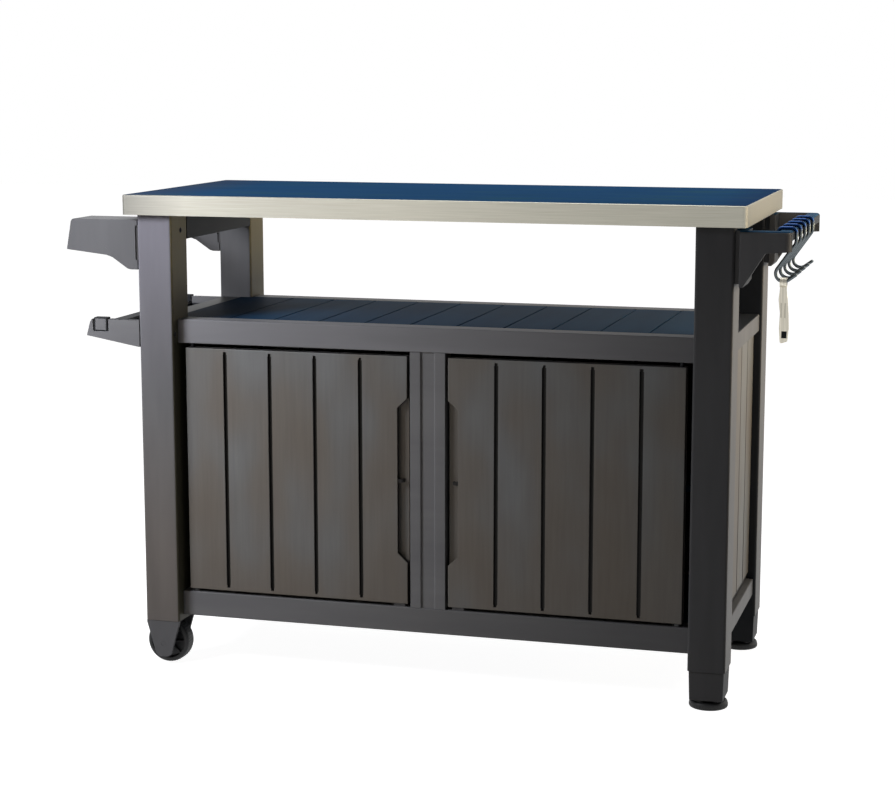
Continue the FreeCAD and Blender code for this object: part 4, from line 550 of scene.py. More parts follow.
# %% Dress every solid
OWN_FINISH = {
    "upper_front_rail": upper_rail_resin, "lower_front_rail": lower_rail_resin,
    "upper_rear_rail": rail_resin, "lower_rear_rail": rail_resin, "centre_post": rail_resin,
    "rack_plate_front": rail_resin, "rack_plate_rear": rail_resin, "rack_rail": rack_resin,
    "side_panel_left": side_resin, "side_panel_right": side_resin,
    # Painted shade on the side aprons, the left upper side rail, the rack's tray and the hinge pins
    "side_apron_left": shaded_resin, "side_apron_right": shaded_resin,
    "upper_side_rail_left": shaded_resin, "rack_tray": shaded_resin, "hinge_pins": gap_shade_steel}
finish_of = {node: OWN_FINISH.get(node, FINISHES[slot_of_node[node]]) for node in nodes}
for node, thing in nodes.items():
    thing.data.materials.clear()
    thing.data.materials.append(finish_of[node])
print("dressed", len(nodes), "solids,", len(OWN_FINISH), "of them with a finish of their own")

# %% [markdown]
# ## Softer edges
#
# No moulded or folded edge is sharp. Light always catches a thin line along it, and without that
# line a model looks cut out of card. Each large piece gets a copy of its solid with its triangles
# merged into flat faces, and every long outward edge rounded over. Bevelling only the long edges
# leaves bores and existing roundings alone. Weighted normals keep the flat faces flat.

# %% Softening


def into_piece(name, mesh, node_names, material=None):
    """Links a finished mesh as a piece that rides with, and stands for, the named solids."""
    piece = bpy.data.objects.new(name, mesh)
    bpy.context.scene.collection.objects.link(piece)
    if material:
        mesh.materials.clear()
        mesh.materials.append(material)
    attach(piece, body_of_node[node_names[0]])
    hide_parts(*node_names)
    return piece


def merged_copy(node):
    """A bmesh of the solid with its loose triangles joined and its flat faces whole."""
    shape = bmesh.new()
    shape.from_mesh(nodes[node].data)
    bmesh.ops.remove_doubles(shape, verts=shape.verts, dist=1e-6)
    bmesh.ops.dissolve_limit(shape, angle_limit=math.radians(0.5), verts=shape.verts, edges=shape.edges)
    return shape


def bevel_long_edges(shape, radius, shortest, least_angle=35):
    """Rounds every outward edge that is longer than the shortest, in metres."""
    long_edges = [edge for edge in shape.edges
                  if len(edge.link_faces) == 2 and edge.is_convex and edge.calc_length() > shortest
                  and edge.calc_face_angle() > math.radians(least_angle)]
    bmesh.ops.bevel(shape, geom=long_edges, offset=radius, segments=2, profile=0.5,
                    affect="EDGES", clamp_overlap=False)
    return len(long_edges)


def with_weighted_normals(name, shape, sharp=40):
    """Turns a bmesh into a mesh whose large faces keep their own normals."""
    mesh = bpy.data.meshes.new(name)
    shape.to_mesh(mesh)
    shape.free()
    for layer in ("custom_normal", "sharp_face", "sharp_edge"):
        if layer in mesh.attributes:
            mesh.attributes.remove(mesh.attributes[layer])
    mesh.shade_smooth()
    mesh.set_sharp_from_angle(angle=math.radians(sharp))
    carrier = bpy.data.objects.new(name + "_carrier", mesh)
    bpy.context.scene.collection.objects.link(carrier)
    modifier = carrier.modifiers.new("weights", "WEIGHTED_NORMAL")
    modifier.keep_sharp = True
    graph = bpy.context.evaluated_depsgraph_get()
    result = bpy.data.meshes.new_from_object(carrier.evaluated_get(graph), preserve_all_data_layers=True,
                                             depsgraph=graph)
    result.name = name
    bpy.data.objects.remove(carrier)
    return result


print("merging, rounding and weighting are ready")

# %% [markdown]
# The radius follows the moulding: legs and doors have the roundest edges, and thin boards the
# sharpest. An edge counts as long from 12 mm.

# %% Soft copies
LONG_EDGE = 12
ROUNDED = 1.2
SOFT = {
    1.5: ("leg_front_left", "leg_front_right", "leg_rear_left", "leg_rear_right", "door_left", "door_right"),
    ROUNDED: ("side_apron_left", "side_apron_right", "upper_front_rail", "lower_front_rail",
              "upper_rear_rail", "lower_rear_rail", "upper_side_rail_left", "upper_side_rail_right",
              "lower_side_rail_left", "lower_side_rail_right", "side_panel_left",
              "side_panel_right", "back_panel_left", "back_panel_right", "foot_block_front",
              "foot_block_rear", "wheel_fork_front", "wheel_fork_rear", "towel_arm_front",
              "towel_arm_rear", "rack_plate_front", "rack_plate_rear", "rack_rail", "hook_rail"),
    0.8: ("open_shelf", "cabinet_base", "middle_board", "inner_shelf_left", "inner_shelf_right",
          "rear_joint_strip", "rack_tray")}
for radius, names in SOFT.items():
    for node in names:
        shape = merged_copy(node)
        count = bevel_long_edges(shape, radius * MM, LONG_EDGE * MM)
        mesh = with_weighted_normals("soft_" + node, shape)
        piece = into_piece("soft_" + node, mesh, [node], finish_of[node])
        print(piece.name, "rounded", count, "edges by", radius, "mm,", len(piece.data.polygons), "faces")

# %% [markdown]
# ## Faces with a finish of their own
#
# The legs' faces with painted light, bounce and shade get their finishes here. So do the faces that
# hardly any light reaches on the real cart, which get painted shade: the right feet's sides, the hook
# rail inside its loop, and the tops of the side rails. The hook rail's top gets the boards' painted
# sky reflection. A second material slot on the same mesh does this without cutting the piece up, and
# a small test of where a face looks picks the faces.

# %% Second finishes


def in_front(face):
    return face.normal.y < -0.5


def at_right(face):
    return face.normal.x > 0.5


def on_top(face):
    return face.normal.z > 0.5


def second_finish(piece, material, chosen):
    """Gives the chosen faces of a piece a second finish."""
    mesh = bpy.data.objects[piece].data
    mesh.materials.append(material)
    faces = [face for face in mesh.polygons if chosen(face)]
    for face in faces:
        face.material_index = len(mesh.materials) - 1
    print(piece, "has", len(faces), "faces in", material.name)


# Painted shade: the rear half of the rack's rail lies in the shade of the towel arms
rack_middle = place(0, 255, 0).y
# Painted light, bounce, shade and sky reflection on chosen faces
for piece, material, chosen in (
        ("soft_leg_front_left", lit_resin, in_front),
        ("soft_leg_front_left", painted_bounce_resin, at_right),
        ("soft_leg_rear_left", painted_bounce_resin, at_right),
        ("soft_leg_front_right", painted_half_shade_resin, in_front),
        ("soft_leg_rear_right", shaded_resin, in_front),
        ("soft_foot_block_front", painted_half_shade_resin, in_front),
        ("soft_foot_block_front", shaded_resin, at_right),
        ("soft_foot_block_rear", shaded_resin, lambda face: in_front(face) or at_right(face)),
        ("soft_upper_side_rail_left", black_nylon, on_top),
        ("soft_upper_side_rail_right", shaded_resin, on_top),
        ("soft_hook_rail", shaded_resin, lambda face: not in_front(face) and not on_top(face)),
        ("soft_hook_rail", board_resin, on_top),
        ("soft_rack_plate_front", shaded_resin, on_top),
        ("soft_rack_rail", shaded_resin, lambda face: face.center.y > rack_middle or on_top(face))):
    second_finish(piece, material, chosen)

# %% [markdown]
# ## The post between the doors
#
# A shallow channel runs down the post's front, so that the fingers find the door's edge. The solid
# has it 8 mm deep. The real one looks 3.5 mm deep, because its shaded wall is only that wide, so
# the copy's channel floor is brought forward before its edges are rounded.

# %% Centre post
CHANNEL = {"front": 40, "half": 13.6, "solid": 8, "shown": 3.5, "slack": 0.3}
post = merged_copy("centre_post")
post_front = place(0, CHANNEL["front"], 0).y
moved = 0
for vertex in post.verts:
    depth = (vertex.co.y - post_front) / MM
    if abs(vertex.co.x - MIDDLE_X) < CHANNEL["half"] * MM and abs(depth - CHANNEL["solid"]) < CHANNEL["slack"]:
        vertex.co.y = place(0, CHANNEL["front"] + CHANNEL["shown"], 0).y
        moved += 1
bevel_long_edges(post, ROUNDED * MM, LONG_EDGE * MM)
into_piece("channelled_post", with_weighted_normals("channelled_post", post), ["centre_post"], rail_resin)
print("brought", moved, "corners of the channel's floor forward")

# %% [markdown]
# ## The worktop
#
# The real sheet is pressed: its fold and its four upright corners are round, and the rim runs on
# round them without a seam. The solid is folded from a flat outline and stays open at the corners,
# so the skin is made anew. Loops round a rectangle with rounded corners follow the sheet's section,
# down inside the rim, round its lip and up outside, and are joined into one closed shell. It needs
# two finishes: a face takes the painted sky reflection if it looks straight up at the top, and else
# it is bare metal.

# %% Worktop skin
TOP = {"corner": 8, "fold": 2.5, "gauge": 1.2, "steps": 8, "fold_steps": 5}


def rounded_loop(low, high, inset, radius, z, steps):
    """Points round a rectangle with rounded corners, set in from its outline."""
    radius = max(radius - inset, 0.5 * MM)
    x = (low.x + inset + radius, high.x - inset - radius)
    y = (low.y + inset + radius, high.y - inset - radius)
    corners = ((x[1], y[1], 0), (x[0], y[1], 90), (x[0], y[0], 180), (x[1], y[0], 270))
    return [(cx + radius * math.cos(math.radians(start + 90 * step / steps)),
             cy + radius * math.sin(math.radians(start + 90 * step / steps)), z)
            for cx, cy, start in corners for step in range(steps + 1)]


def joined_loops(shape, loops):
    """Joins loops of equal length into a skin and closes its first and its last one."""
    rings = [[shape.verts.new(point) for point in loop] for loop in loops]
    for under, over in zip(rings, rings[1:]):
        for number in range(len(under)):
            following = (number + 1) % len(under)
            shape.faces.new((under[number], under[following], over[following], over[number]))
    shape.faces.new(rings[0][::-1])
    shape.faces.new(rings[-1])


def sheet_loops():
    """From the underside of the upper face, down inside the rim, round its lip and up outside."""
    gauge, corner, fold = TOP["gauge"] * MM, TOP["corner"] * MM, TOP["fold"] * MM
    path = [(gauge, top_high.z - gauge), (gauge, top_low.z), (0.0, top_low.z), (0.0, top_high.z - fold)]
    for step in range(1, TOP["fold_steps"] + 1):
        turn = math.radians(90 * step / TOP["fold_steps"])
        path.append((fold * (1 - math.cos(turn)), top_high.z - fold + fold * math.sin(turn)))
    return [rounded_loop(top_low, top_high, inset, corner, z, TOP["steps"]) for inset, z in path]


shape = bmesh.new()
joined_loops(shape, sheet_loops())
bmesh.ops.recalc_face_normals(shape, faces=shape.faces)
skin_mesh = with_weighted_normals("worktop_skin", shape, sharp=50)
into_piece("worktop_skin", skin_mesh, ["worktop_sheet"], rim_steel)
second_finish("worktop_skin", painted_sky,
              lambda face: face.normal.z > 0.99 and face.center.z > top_high.z - 0.5 * MM)

# %% [markdown]
# ## The worktop's core
#
# Under the sheet lies a ribbed core that stiffens it. Its four upright corners have to follow the
# inside of the rim, so they are rounded by the sheet's corner radius less its gauge. The rest is a
# copy of the solid, because nothing of it shows but the ribs from below.

# %% Worktop core
core = merged_copy("worktop_core")
core_low, core_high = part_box("worktop_core")


def at_corner(edge):
    """Whether an edge stands upright at one of the core's four outer corners."""
    ends = [vertex.co for vertex in edge.verts]
    upright = abs(ends[0].x - ends[1].x) < 1e-5 and abs(ends[0].y - ends[1].y) < 1e-5
    return upright and all(min(abs(end.x - core_low.x), abs(end.x - core_high.x)) < 1e-4
                           and min(abs(end.y - core_low.y), abs(end.y - core_high.y)) < 1e-4 for end in ends)


corner_edges = [edge for edge in core.edges if at_corner(edge)]
bmesh.ops.bevel(core, geom=corner_edges, offset=(TOP["corner"] - TOP["gauge"]) * MM, segments=6, profile=0.5,
                affect="EDGES", clamp_overlap=False)
into_piece("core_block", with_weighted_normals("core_block", core), ["worktop_core"], core_resin)
print("rounded", len(corner_edges), "corners of the core")

# %% [markdown]
# ## Geometry Nodes
#
# What repeats or follows a line comes from Geometry Nodes. Three helpers are enough: one starts a
# tree with named inputs, one ends it in real faces with a material, and one runs it on an object
# and hands back the plain mesh.

# %% Tree helpers


def new_geometry_tree(name, sockets):
    """A tree with a geometry in and out, and named inputs with their defaults."""
    tree = bpy.data.node_groups.new(name, "GeometryNodeTree")
    tree.interface.new_socket("Geometry", in_out="INPUT", socket_type="NodeSocketGeometry")
    tree.interface.new_socket("Geometry", in_out="OUTPUT", socket_type="NodeSocketGeometry")
    for label, kind, value in sockets:
        socket = tree.interface.new_socket(label, in_out="INPUT", socket_type=kind)
        if value is not None:
            socket.default_value = value
    return tree, add_node(tree, "NodeGroupInput").outputs, add_node(tree, "NodeGroupOutput")


def finish_tree(tree, geometry, outlet, material):
    """Ends a tree with real faces and one material."""
    real = add_node(tree, "GeometryNodeRealizeInstances", {"Geometry": geometry})
    painted = add_node(tree, "GeometryNodeSetMaterial", {"Geometry": real, "Material": material})
    tree.links.new(painted.outputs[0], outlet.inputs[0])
    print(tree.name, "tree:", len(tree.nodes), "nodes")


def run_tree(name, tree, source, values):
    """Runs a tree on an object's data and returns the plain mesh that comes out."""
    carrier = bpy.data.objects.new(name + "_carrier", source)
    bpy.context.scene.collection.objects.link(carrier)
    modifier = carrier.modifiers.new("tree", "NODES")
    modifier.node_group = tree
    for socket in tree.interface.items_tree:
        if socket.in_out == "INPUT" and socket.name in values:
            modifier[socket.identifier] = values[socket.name]
    graph = bpy.context.evaluated_depsgraph_get()
    mesh = bpy.data.meshes.new_from_object(carrier.evaluated_get(graph), depsgraph=graph)
    mesh.name = name
    carrier.modifiers.clear()
    bpy.data.objects.remove(carrier)
    return mesh


print("tree helpers are ready")

# %% [markdown]
# ## Hooks
#
# An S-hook is one length of steel wire bent round pegs, so its middle line is straight runs and
# arcs. A Geometry Nodes tree sweeps a circle along such a line. It shrinks the circle within one
# wire radius of each end like a half sphere, because the cut ends are tumbled smooth. The same
# tree makes all five hooks, one mesh for each, because each hook slides by itself.

# %% Wire tree
wire_tree, wire_in, wire_out = new_geometry_tree("bent_wire", [
    ("Wire radius", "NodeSocketFloat", 0.003), ("Sides", "NodeSocketInt", 20)])
along = add_node(wire_tree, "GeometryNodeSplineParameter").outputs["Length"]
whole = add_node(wire_tree, "GeometryNodeSplineLength")
from_end = add_node(wire_tree, MATHS, {0: whole, 1: along}, operation="SUBTRACT")
nearest = add_node(wire_tree, MATHS, {0: along, 1: from_end}, operation="MINIMUM")
share = add_node(wire_tree, MATHS, {0: nearest, 1: wire_in["Wire radius"]}, operation="DIVIDE", use_clamp=True)
missing = add_node(wire_tree, MATHS, {0: 1.0, 1: share}, operation="SUBTRACT")
square = add_node(wire_tree, MATHS, {0: missing, 1: 2.0}, operation="POWER")
rest = add_node(wire_tree, MATHS, {0: 1.0, 1: square}, operation="SUBTRACT")
rounding = add_node(wire_tree, MATHS, {0: rest}, operation="SQRT")
ring = add_node(wire_tree, "GeometryNodeCurvePrimitiveCircle",
                {"Radius": wire_in["Wire radius"], "Resolution": wire_in["Sides"]})
sweep = add_node(wire_tree, "GeometryNodeCurveToMesh",
                 {"Curve": wire_in["Geometry"], "Profile Curve": ring, "Scale": rounding, "Fill Caps": True})
finish_tree(wire_tree, sweep, wire_out, wire_steel)

# %% [markdown]
# The wire's line starts in a short tail on the bar's inner side and goes over the bar's two rounded
# edges with a steady gap of 0.3 mm. On the outer side it drops, bends back under the bar, runs down
# a straight shank and turns up in a cup with a short tip. Every place follows from the bar's
# section and the wire's own sizes. The points stand close together near both ends, where the wire
# rounds off.

# %% Hook path
BAR = {"outer": 652, "width": 25, "top": 857, "edge": 5}
WIRE = {"radius": 3, "gap": 0.3, "bend": 14, "lean": 35, "lift": 36, "shank": 50, "tail": 13, "rise": 4,
        "drop": 18, "tip": 18}
RUN_IN = (0.05, 0.2, 0.45, 0.8, 1.3, 2.0, 3.0)


def arc(centre, radius, first, last, step=6):
    """Points on an arc from one angle to another, in degrees."""
    count = max(2, round(abs(last - first) / step))
    angles = [math.radians(first + (last - first) * number / count) for number in range(count + 1)]
    return [(centre[0] + radius * math.cos(a), centre[1] + radius * math.sin(a)) for a in angles]


def run_in(end, following):
    """Closely spaced points from an end of the line towards the point that follows it."""
    step = Vector(following) - Vector(end)
    step.normalize()
    return [tuple(Vector(end) + step * distance) for distance in RUN_IN]


def hook_line():
    """The wire's middle line, sideways and upwards from the middle of the bar's top."""
    side = BAR["width"] / 2 + WIRE["radius"] + WIRE["gap"]
    round_over = BAR["edge"] + WIRE["radius"] + WIRE["gap"]
    crown = BAR["width"] / 2 - BAR["edge"]
    lean = math.radians(WIRE["lean"])
    lift = math.radians(WIRE["lift"])
    neck = (side - WIRE["bend"], -WIRE["drop"])
    shank = (neck[0] + WIRE["bend"] * math.cos(lean), neck[1] - WIRE["bend"] * math.sin(lean))
    low = (shank[0] - WIRE["shank"] * math.sin(lean), shank[1] - WIRE["shank"] * math.cos(lean))
    cup = (low[0] + WIRE["bend"] * math.cos(lean), low[1] - WIRE["bend"] * math.sin(lean))
    lip = (cup[0] + WIRE["bend"] * math.sin(lift), cup[1] - WIRE["bend"] * math.cos(lift))
    tip = (lip[0] + WIRE["tip"] * math.cos(lift), lip[1] + WIRE["tip"] * math.sin(lift))
    line = [(-side, -WIRE["tail"]), (-side, -WIRE["tail"] + WIRE["rise"])]
    line += arc((-crown, -BAR["edge"]), round_over, 180, 90)
    line += arc((crown, -BAR["edge"]), round_over, 90, 0)
    line += arc(neck, WIRE["bend"], 0, -WIRE["lean"])
    line += arc(cup, WIRE["bend"], 180 - WIRE["lean"], 270 + WIRE["lift"])
    line += [tip]
    head = [line[0]] + run_in(line[0], line[1])
    foot = run_in(line[-1], line[-2])[::-1] + [line[-1]]
    return head + line[1:-1] + foot, cup


hook_points, cup_centre = hook_line()
print("hook line of", len(hook_points), "points, its cup", round(cup_centre[0], 2), round(cup_centre[1], 2))

# %% [markdown]
# The five hooks hang along the bar at one pitch, and each becomes a mesh of its own.

# %% Five hooks
FIRST_HOOK = 58
HOOK_PITCH = 66
BAR_MIDDLE = BAR["outer"] - BAR["width"] / 2
for number in range(5):
    line = bpy.data.curves.new("hook_line", "CURVE")
    line.dimensions = "3D"
    spline = line.splines.new("POLY")
    spline.points.add(len(hook_points) - 1)
    for point, (u, v) in zip(spline.points, hook_points):
        point.co = (*place(BAR_MIDDLE + u, FIRST_HOOK + HOOK_PITCH * number, BAR["top"] + v), 1)
    name = "wire_hook_%d" % (number + 1)
    mesh = run_tree(name, wire_tree, line, {"Wire radius": WIRE["radius"] * MM, "Sides": 20})
    mesh.shade_smooth()
    into_piece(name, mesh, ["s_hook_%d" % (number + 1)])
    print(name, len(mesh.polygons), "faces")

# %% [markdown]
# ## Turned shapes and rings
#
# A moulded wheel is a turned shape with spokes in its dished sides and low ribs across its tread.
# A levelling foot is a turned disc with a grip on its rim and a threaded stud. Both are drawn as a
# profile that goes round an axis, and a Geometry Nodes tree sets copies of one rounded bar in a
# ring. Spokes, ribs and grips come out of the same tree with other numbers. The bars are bevelled,
# because a moulded rib never has a sharp edge.

# %% Turned shapes


def turned(name, profile, steps, closed):
    """A shell round the Z axis from (radius, height) pairs in millimetres."""
    shape = bmesh.new()
    angles = [2 * math.pi * step / steps for step in range(steps)]
    rings = []
    for radius, height in profile:
        if radius == 0:
            rings.append([shape.verts.new((0, 0, height * MM))] * steps)
        else:
            rings.append([shape.verts.new((radius * MM * math.cos(a), radius * MM * math.sin(a), height * MM))
                          for a in angles])
    pairs = list(zip(rings, rings[1:])) + ([(rings[-1], rings[0])] if closed else [])
    for low, high in pairs:
        for step in range(steps):
            after = (step + 1) % steps
            corners = list(dict.fromkeys((low[step], low[after], high[after], high[step])))
            if len(corners) > 2:
                shape.faces.new(corners)
    bmesh.ops.recalc_face_normals(shape, faces=shape.faces)
    return with_weighted_normals(name, shape, sharp=50)


def rounded_bar(radial, around, axial, edge):
    """An object with a bar whose edges are rounded, sizes in millimetres."""
    shape = bmesh.new()
    bmesh.ops.create_cube(shape, size=1.0)
    bmesh.ops.scale(shape, vec=(radial * MM, around * MM, axial * MM), verts=shape.verts)
    bmesh.ops.bevel(shape, geom=list(shape.edges), offset=edge * MM, segments=2, profile=0.5, affect="EDGES")
    mesh = bpy.data.meshes.new("rounded_bar")
    shape.to_mesh(mesh)
    shape.free()
    part = bpy.data.objects.new("rounded_bar", mesh)
    bpy.context.scene.collection.objects.link(part)
    return part


print("turned shapes and rounded bars are ready")

# %% [markdown]
# The ring tree makes as many points as there are bars, all in one place, and moves each by its
# index round the circle. A copy of the bar goes on every point, turned by the same angle, so that
# its long side always looks away from the middle. The turned shape comes in as the tree's geometry
# and is joined to the bars.

# %% Ring tree
ring_tree, ring_in, ring_out = new_geometry_tree("ring_of_bars", [
    ("Count", "NodeSocketInt", 8), ("Radius", "NodeSocketFloat", 0.02), ("Height", "NodeSocketFloat", 0.0),
    ("Part", "NodeSocketObject", None)])
number = add_node(ring_tree, "GeometryNodeInputIndex")
step = add_node(ring_tree, MATHS, {0: 2 * math.pi, 1: ring_in["Count"]}, operation="DIVIDE")
angle = add_node(ring_tree, MATHS, {0: number, 1: step}, operation="MULTIPLY")
sides = []
for way in ("COSINE", "SINE"):
    share = add_node(ring_tree, MATHS, {0: angle}, operation=way)
    sides.append(add_node(ring_tree, MATHS, {0: share, 1: ring_in["Radius"]}, operation="MULTIPLY"))
spot = add_node(ring_tree, "ShaderNodeCombineXYZ", {"X": sides[0], "Y": sides[1], "Z": ring_in["Height"]})
points = add_node(ring_tree, "GeometryNodePoints", {"Count": ring_in["Count"], "Position": spot})
facing = add_node(ring_tree, "ShaderNodeCombineXYZ", {"Z": angle})
bar = add_node(ring_tree, "GeometryNodeObjectInfo", {"Object": ring_in["Part"]})
copies = add_node(ring_tree, "GeometryNodeInstanceOnPoints",
                  {"Points": points, "Instance": bar.outputs["Geometry"], "Rotation": facing})
joined = add_node(ring_tree, "GeometryNodeJoinGeometry", {"Geometry": ring_in["Geometry"]})
ring_tree.links.new(copies.outputs[0], joined.inputs[0])
finish_tree(ring_tree, joined, ring_out, black_nylon)


def with_ring(name, mesh, count, radius, height, sizes):
    """A mesh with a ring of rounded bars joined to it."""
    part = rounded_bar(*sizes)
    result = run_tree(name, ring_tree, mesh,
                      {"Count": count, "Radius": radius * MM, "Height": height * MM, "Part": part})
    bpy.data.objects.remove(part)
    return result


# %% [markdown]
# ## Wheels
#
# The profile is half a wheel's section: the hub's bore and face, the dish between hub and rim, the
# rim and the rounded tread. Its mirror image closes it. The spokes fill the dish and the ribs cross
# the tread. The wheel is turned upright and moved in the mesh, so its object stays at the origin.

# %% Wheels
BACK = {"front": 55, "rear": 455}
WHEEL = {"centre": -521.5, "radius": 42.5, "steps": 96}
SPOKES = {"count": 8, "radius": 21.8, "height": 0, "sizes": (22, 3.4, 25, 0.7)}
TREAD_RIBS = {"count": 48, "radius": 41.6, "height": 0, "sizes": (1.8, 1.8, 20, 0.4)}
wheel_half = [(5.1, 30.5), (10.4, 30.5), (11, 29.9), (12.8, 8.8), (13.6, 8), (30.6, 8), (31.7, 8.6),
              (33.2, 15.3), (33.9, 16), (36.4, 16), (38.3, 15.6), (40.0, 14.5), (41.2, 12.9), (41.8, 11)]


def mirrored(half):
    """A whole profile from its upper half."""
    return half + [(radius, -height) for radius, height in reversed(half)]


def at_wheel(end):
    """The turn and shift that bring a shape round the Z axis to a wheel's place."""
    upright = Matrix.Rotation(math.radians(-90), 4, "X")
    return Matrix.Translation(place(WHEEL["centre"], BACK[end], WHEEL["radius"])) @ upright


for end in BACK:
    name = "turned_wheel_" + end
    mesh = turned(name, mirrored(wheel_half), WHEEL["steps"], True)
    for bars in (SPOKES, TREAD_RIBS):
        mesh = with_ring(name, mesh, **bars)
    mesh.transform(at_wheel(end))
    into_piece(name, mesh, ["wheel_" + end])
    print(name, len(mesh.polygons), "faces")

# %% [markdown]
# ## Axles
#
# Each wheel turns on a steel pin through its fork, and a push-on cap in the fork's own resin closes
# the pin's end. Pin and caps are one turned shape, and the faces outside the fork get the resin.
# Both axles are one piece, as they are one solid in the frame.

# %% Axles
AXLE = {"end": 36.8, "radius": 5, "fork": 31, "steps": 32}
cap = [(0, AXLE["end"]), (4.2, AXLE["end"]), (4.8, AXLE["end"] - 0.3), (AXLE["radius"], AXLE["end"] - 0.9),
       (AXLE["radius"], AXLE["fork"])]
axles = bmesh.new()
for end in BACK:
    mesh = turned("axle", mirrored(cap), AXLE["steps"], False)
    mesh.transform(at_wheel(end))
    axles.from_mesh(mesh)
into_piece("capped_axles", with_weighted_normals("capped_axles", axles), ["wheel_axles"], zinc_steel)
axle_y = [place(0, back, 0).y for back in BACK.values()]
second_finish("capped_axles", frame_resin,
              lambda face: min(abs(face.center.y - y) for y in axle_y) > AXLE["fork"] * MM)

# %% [markdown]
# ## Levelling feet
#
# A foot is a disc that the hand turns, so its rim has 36 grips, and its stud has a thread that
# screws into the foot block. The thread is a spiral curve with a small six-sided section swept
# along it. Its tree takes the number of turns from the stud's length and a pitch of 1.5 mm.

# %% Thread tree
thread_tree, thread_in, thread_out = new_geometry_tree("thread", [
    ("Turns", "NodeSocketFloat", 28.0), ("Radius", "NodeSocketFloat", 0.0043),
    ("Rise", "NodeSocketFloat", 0.042), ("Crest", "NodeSocketFloat", 0.0007),
    ("Low", "NodeSocketFloat", 0.0186)])
spiral = add_node(thread_tree, "GeometryNodeCurveSpiral",
                  {"Resolution": 24, "Rotations": thread_in["Turns"], "Start Radius": thread_in["Radius"],
                   "End Radius": thread_in["Radius"], "Height": thread_in["Rise"]})
crest = add_node(thread_tree, "GeometryNodeCurvePrimitiveCircle",
                 {"Radius": thread_in["Crest"], "Resolution": 6})
ridge = add_node(thread_tree, "GeometryNodeCurveToMesh",
                 {"Curve": spiral, "Profile Curve": crest, "Fill Caps": True})
lift = add_node(thread_tree, "ShaderNodeCombineXYZ", {"Z": thread_in["Low"]})
raised = add_node(thread_tree, "GeometryNodeSetPosition", {"Geometry": ridge, "Offset": lift})
whole_foot = add_node(thread_tree, "GeometryNodeJoinGeometry", {"Geometry": thread_in["Geometry"]})
thread_tree.links.new(raised.outputs[0], whole_foot.inputs[0])
finish_tree(thread_tree, whole_foot, thread_out, black_nylon)

# %% [markdown]
# The disc's profile goes from its flat underside over the rounded rim and the dished upper face to
# the neck, and on up the stud. Its first and last points lie on the axis, which closes the shell.

# %% Levelling feet
FOOT = {"centre": 521.5, "steps": 96, "stud": 4.3, "thread": 0.7, "pitch": 1.5, "low": 18.6, "high": 61}
GRIPS = {"count": 36, "radius": 34.0, "height": 4.6, "sizes": (2.0, 2.6, 5.4, 0.4)}
foot_profile = [(0, 0), (33.0, 0), (34.0, 0.5), (34.5, 1.6), (34.5, 8), (34.3, 9.4), (33.4, 11.4),
                (31.6, 12.7), (29.6, 13.1), (28.2, 12.9), (27.0, 12.1), (25.6, 11.6), (15.0, 11.9),
                (12.6, 12.6), (11.6, 14.6), (10.6, 17.2), (10.0, 17.7), (5.4, 17.7), (4.4, 17.9),
                (FOOT["stud"], FOOT["low"]), (FOOT["stud"], FOOT["high"]), (3.4, 62), (0, 62)]
rise = FOOT["high"] - FOOT["low"]
for end, back in BACK.items():
    name = "turned_foot_" + end
    mesh = turned(name, foot_profile, FOOT["steps"], False)
    mesh = with_ring(name, mesh, **GRIPS)
    mesh = run_tree(name, thread_tree, mesh, {
        "Turns": rise / FOOT["pitch"], "Radius": FOOT["stud"] * MM, "Rise": rise * MM,
        "Crest": FOOT["thread"] * MM, "Low": FOOT["low"] * MM})
    mesh.transform(Matrix.Translation(place(FOOT["centre"], back, 0)))
    into_piece(name, mesh, ["levelling_foot_" + end])
    print(name, len(mesh.polygons), "faces")

# %% [markdown]
# ## Bottle opener
#
# The opener is stamped from sheet steel, and its cut edges are tumbled round, so the copy of its
# solid gets fine bevels. A thin dark plate fills the window at its lower end. The plate belongs to
# the same mesh, because the opener is one solid, and the faces that lie within the plate's box get
# the charcoal resin. The floors of the two flutes get a darker steel, as painted shade.

# %% Bottle opener
OPENER = {"hang": 1.4, "window_right": 3.0, "window_below": 91, "rounding": 0.35, "shortest": 3,
          "gauge_half": 0.9}
WINDOW_PLATE = (9.4, 0.9, 12.4)
FLUTE = (0.3, 1.2)
opener = merged_copy("bottle_opener")
bevel_long_edges(opener, OPENER["rounding"] * MM, OPENER["shortest"] * MM)
eye = place(BAR_MIDDLE + cup_centre[0], FIRST_HOOK, BAR["top"] + cup_centre[1] - WIRE["bend"] - OPENER["hang"])
window_plate_middle = eye + Vector((OPENER["window_right"], 0, -OPENER["window_below"])) * MM
window_plate = rounded_bar(*WINDOW_PLATE, 0.2)
window_plate.data.transform(Matrix.Translation(window_plate_middle))
opener.from_mesh(window_plate.data)
bpy.data.objects.remove(window_plate)
into_piece("tumbled_opener", with_weighted_normals("tumbled_opener", opener), ["bottle_opener"], opener_steel)


def on_window_plate(face):
    away = face.center - window_plate_middle
    return all(abs(part) < (size / 2 + 0.05) * MM for part, size in zip(away, WINDOW_PLATE))


def in_flute(face):
    depth = (face.center.y - eye.y) / MM + OPENER["gauge_half"]
    return abs(face.normal.y) > 0.9 and FLUTE[0] < depth < FLUTE[1] and not on_window_plate(face)


second_finish("tumbled_opener", shaded_resin, on_window_plate)
# Painted shade on the floors of the flutes
second_finish("tumbled_opener", flute_shade_steel, in_flute)

# %% [markdown]
# ## The studio
#
# The photograph has a white background and soft light that falls off from left to right: the left
# leg is more than twice as bright as the right one. A small softbox close to the left front corner
# makes that fall-off, because light from nearby fades within the length of the cart. A weak one in
# front lifts the doors, a wide one overhead lights the worktop, and two small ones at the right
# graze the cabinet's side and the hooks.

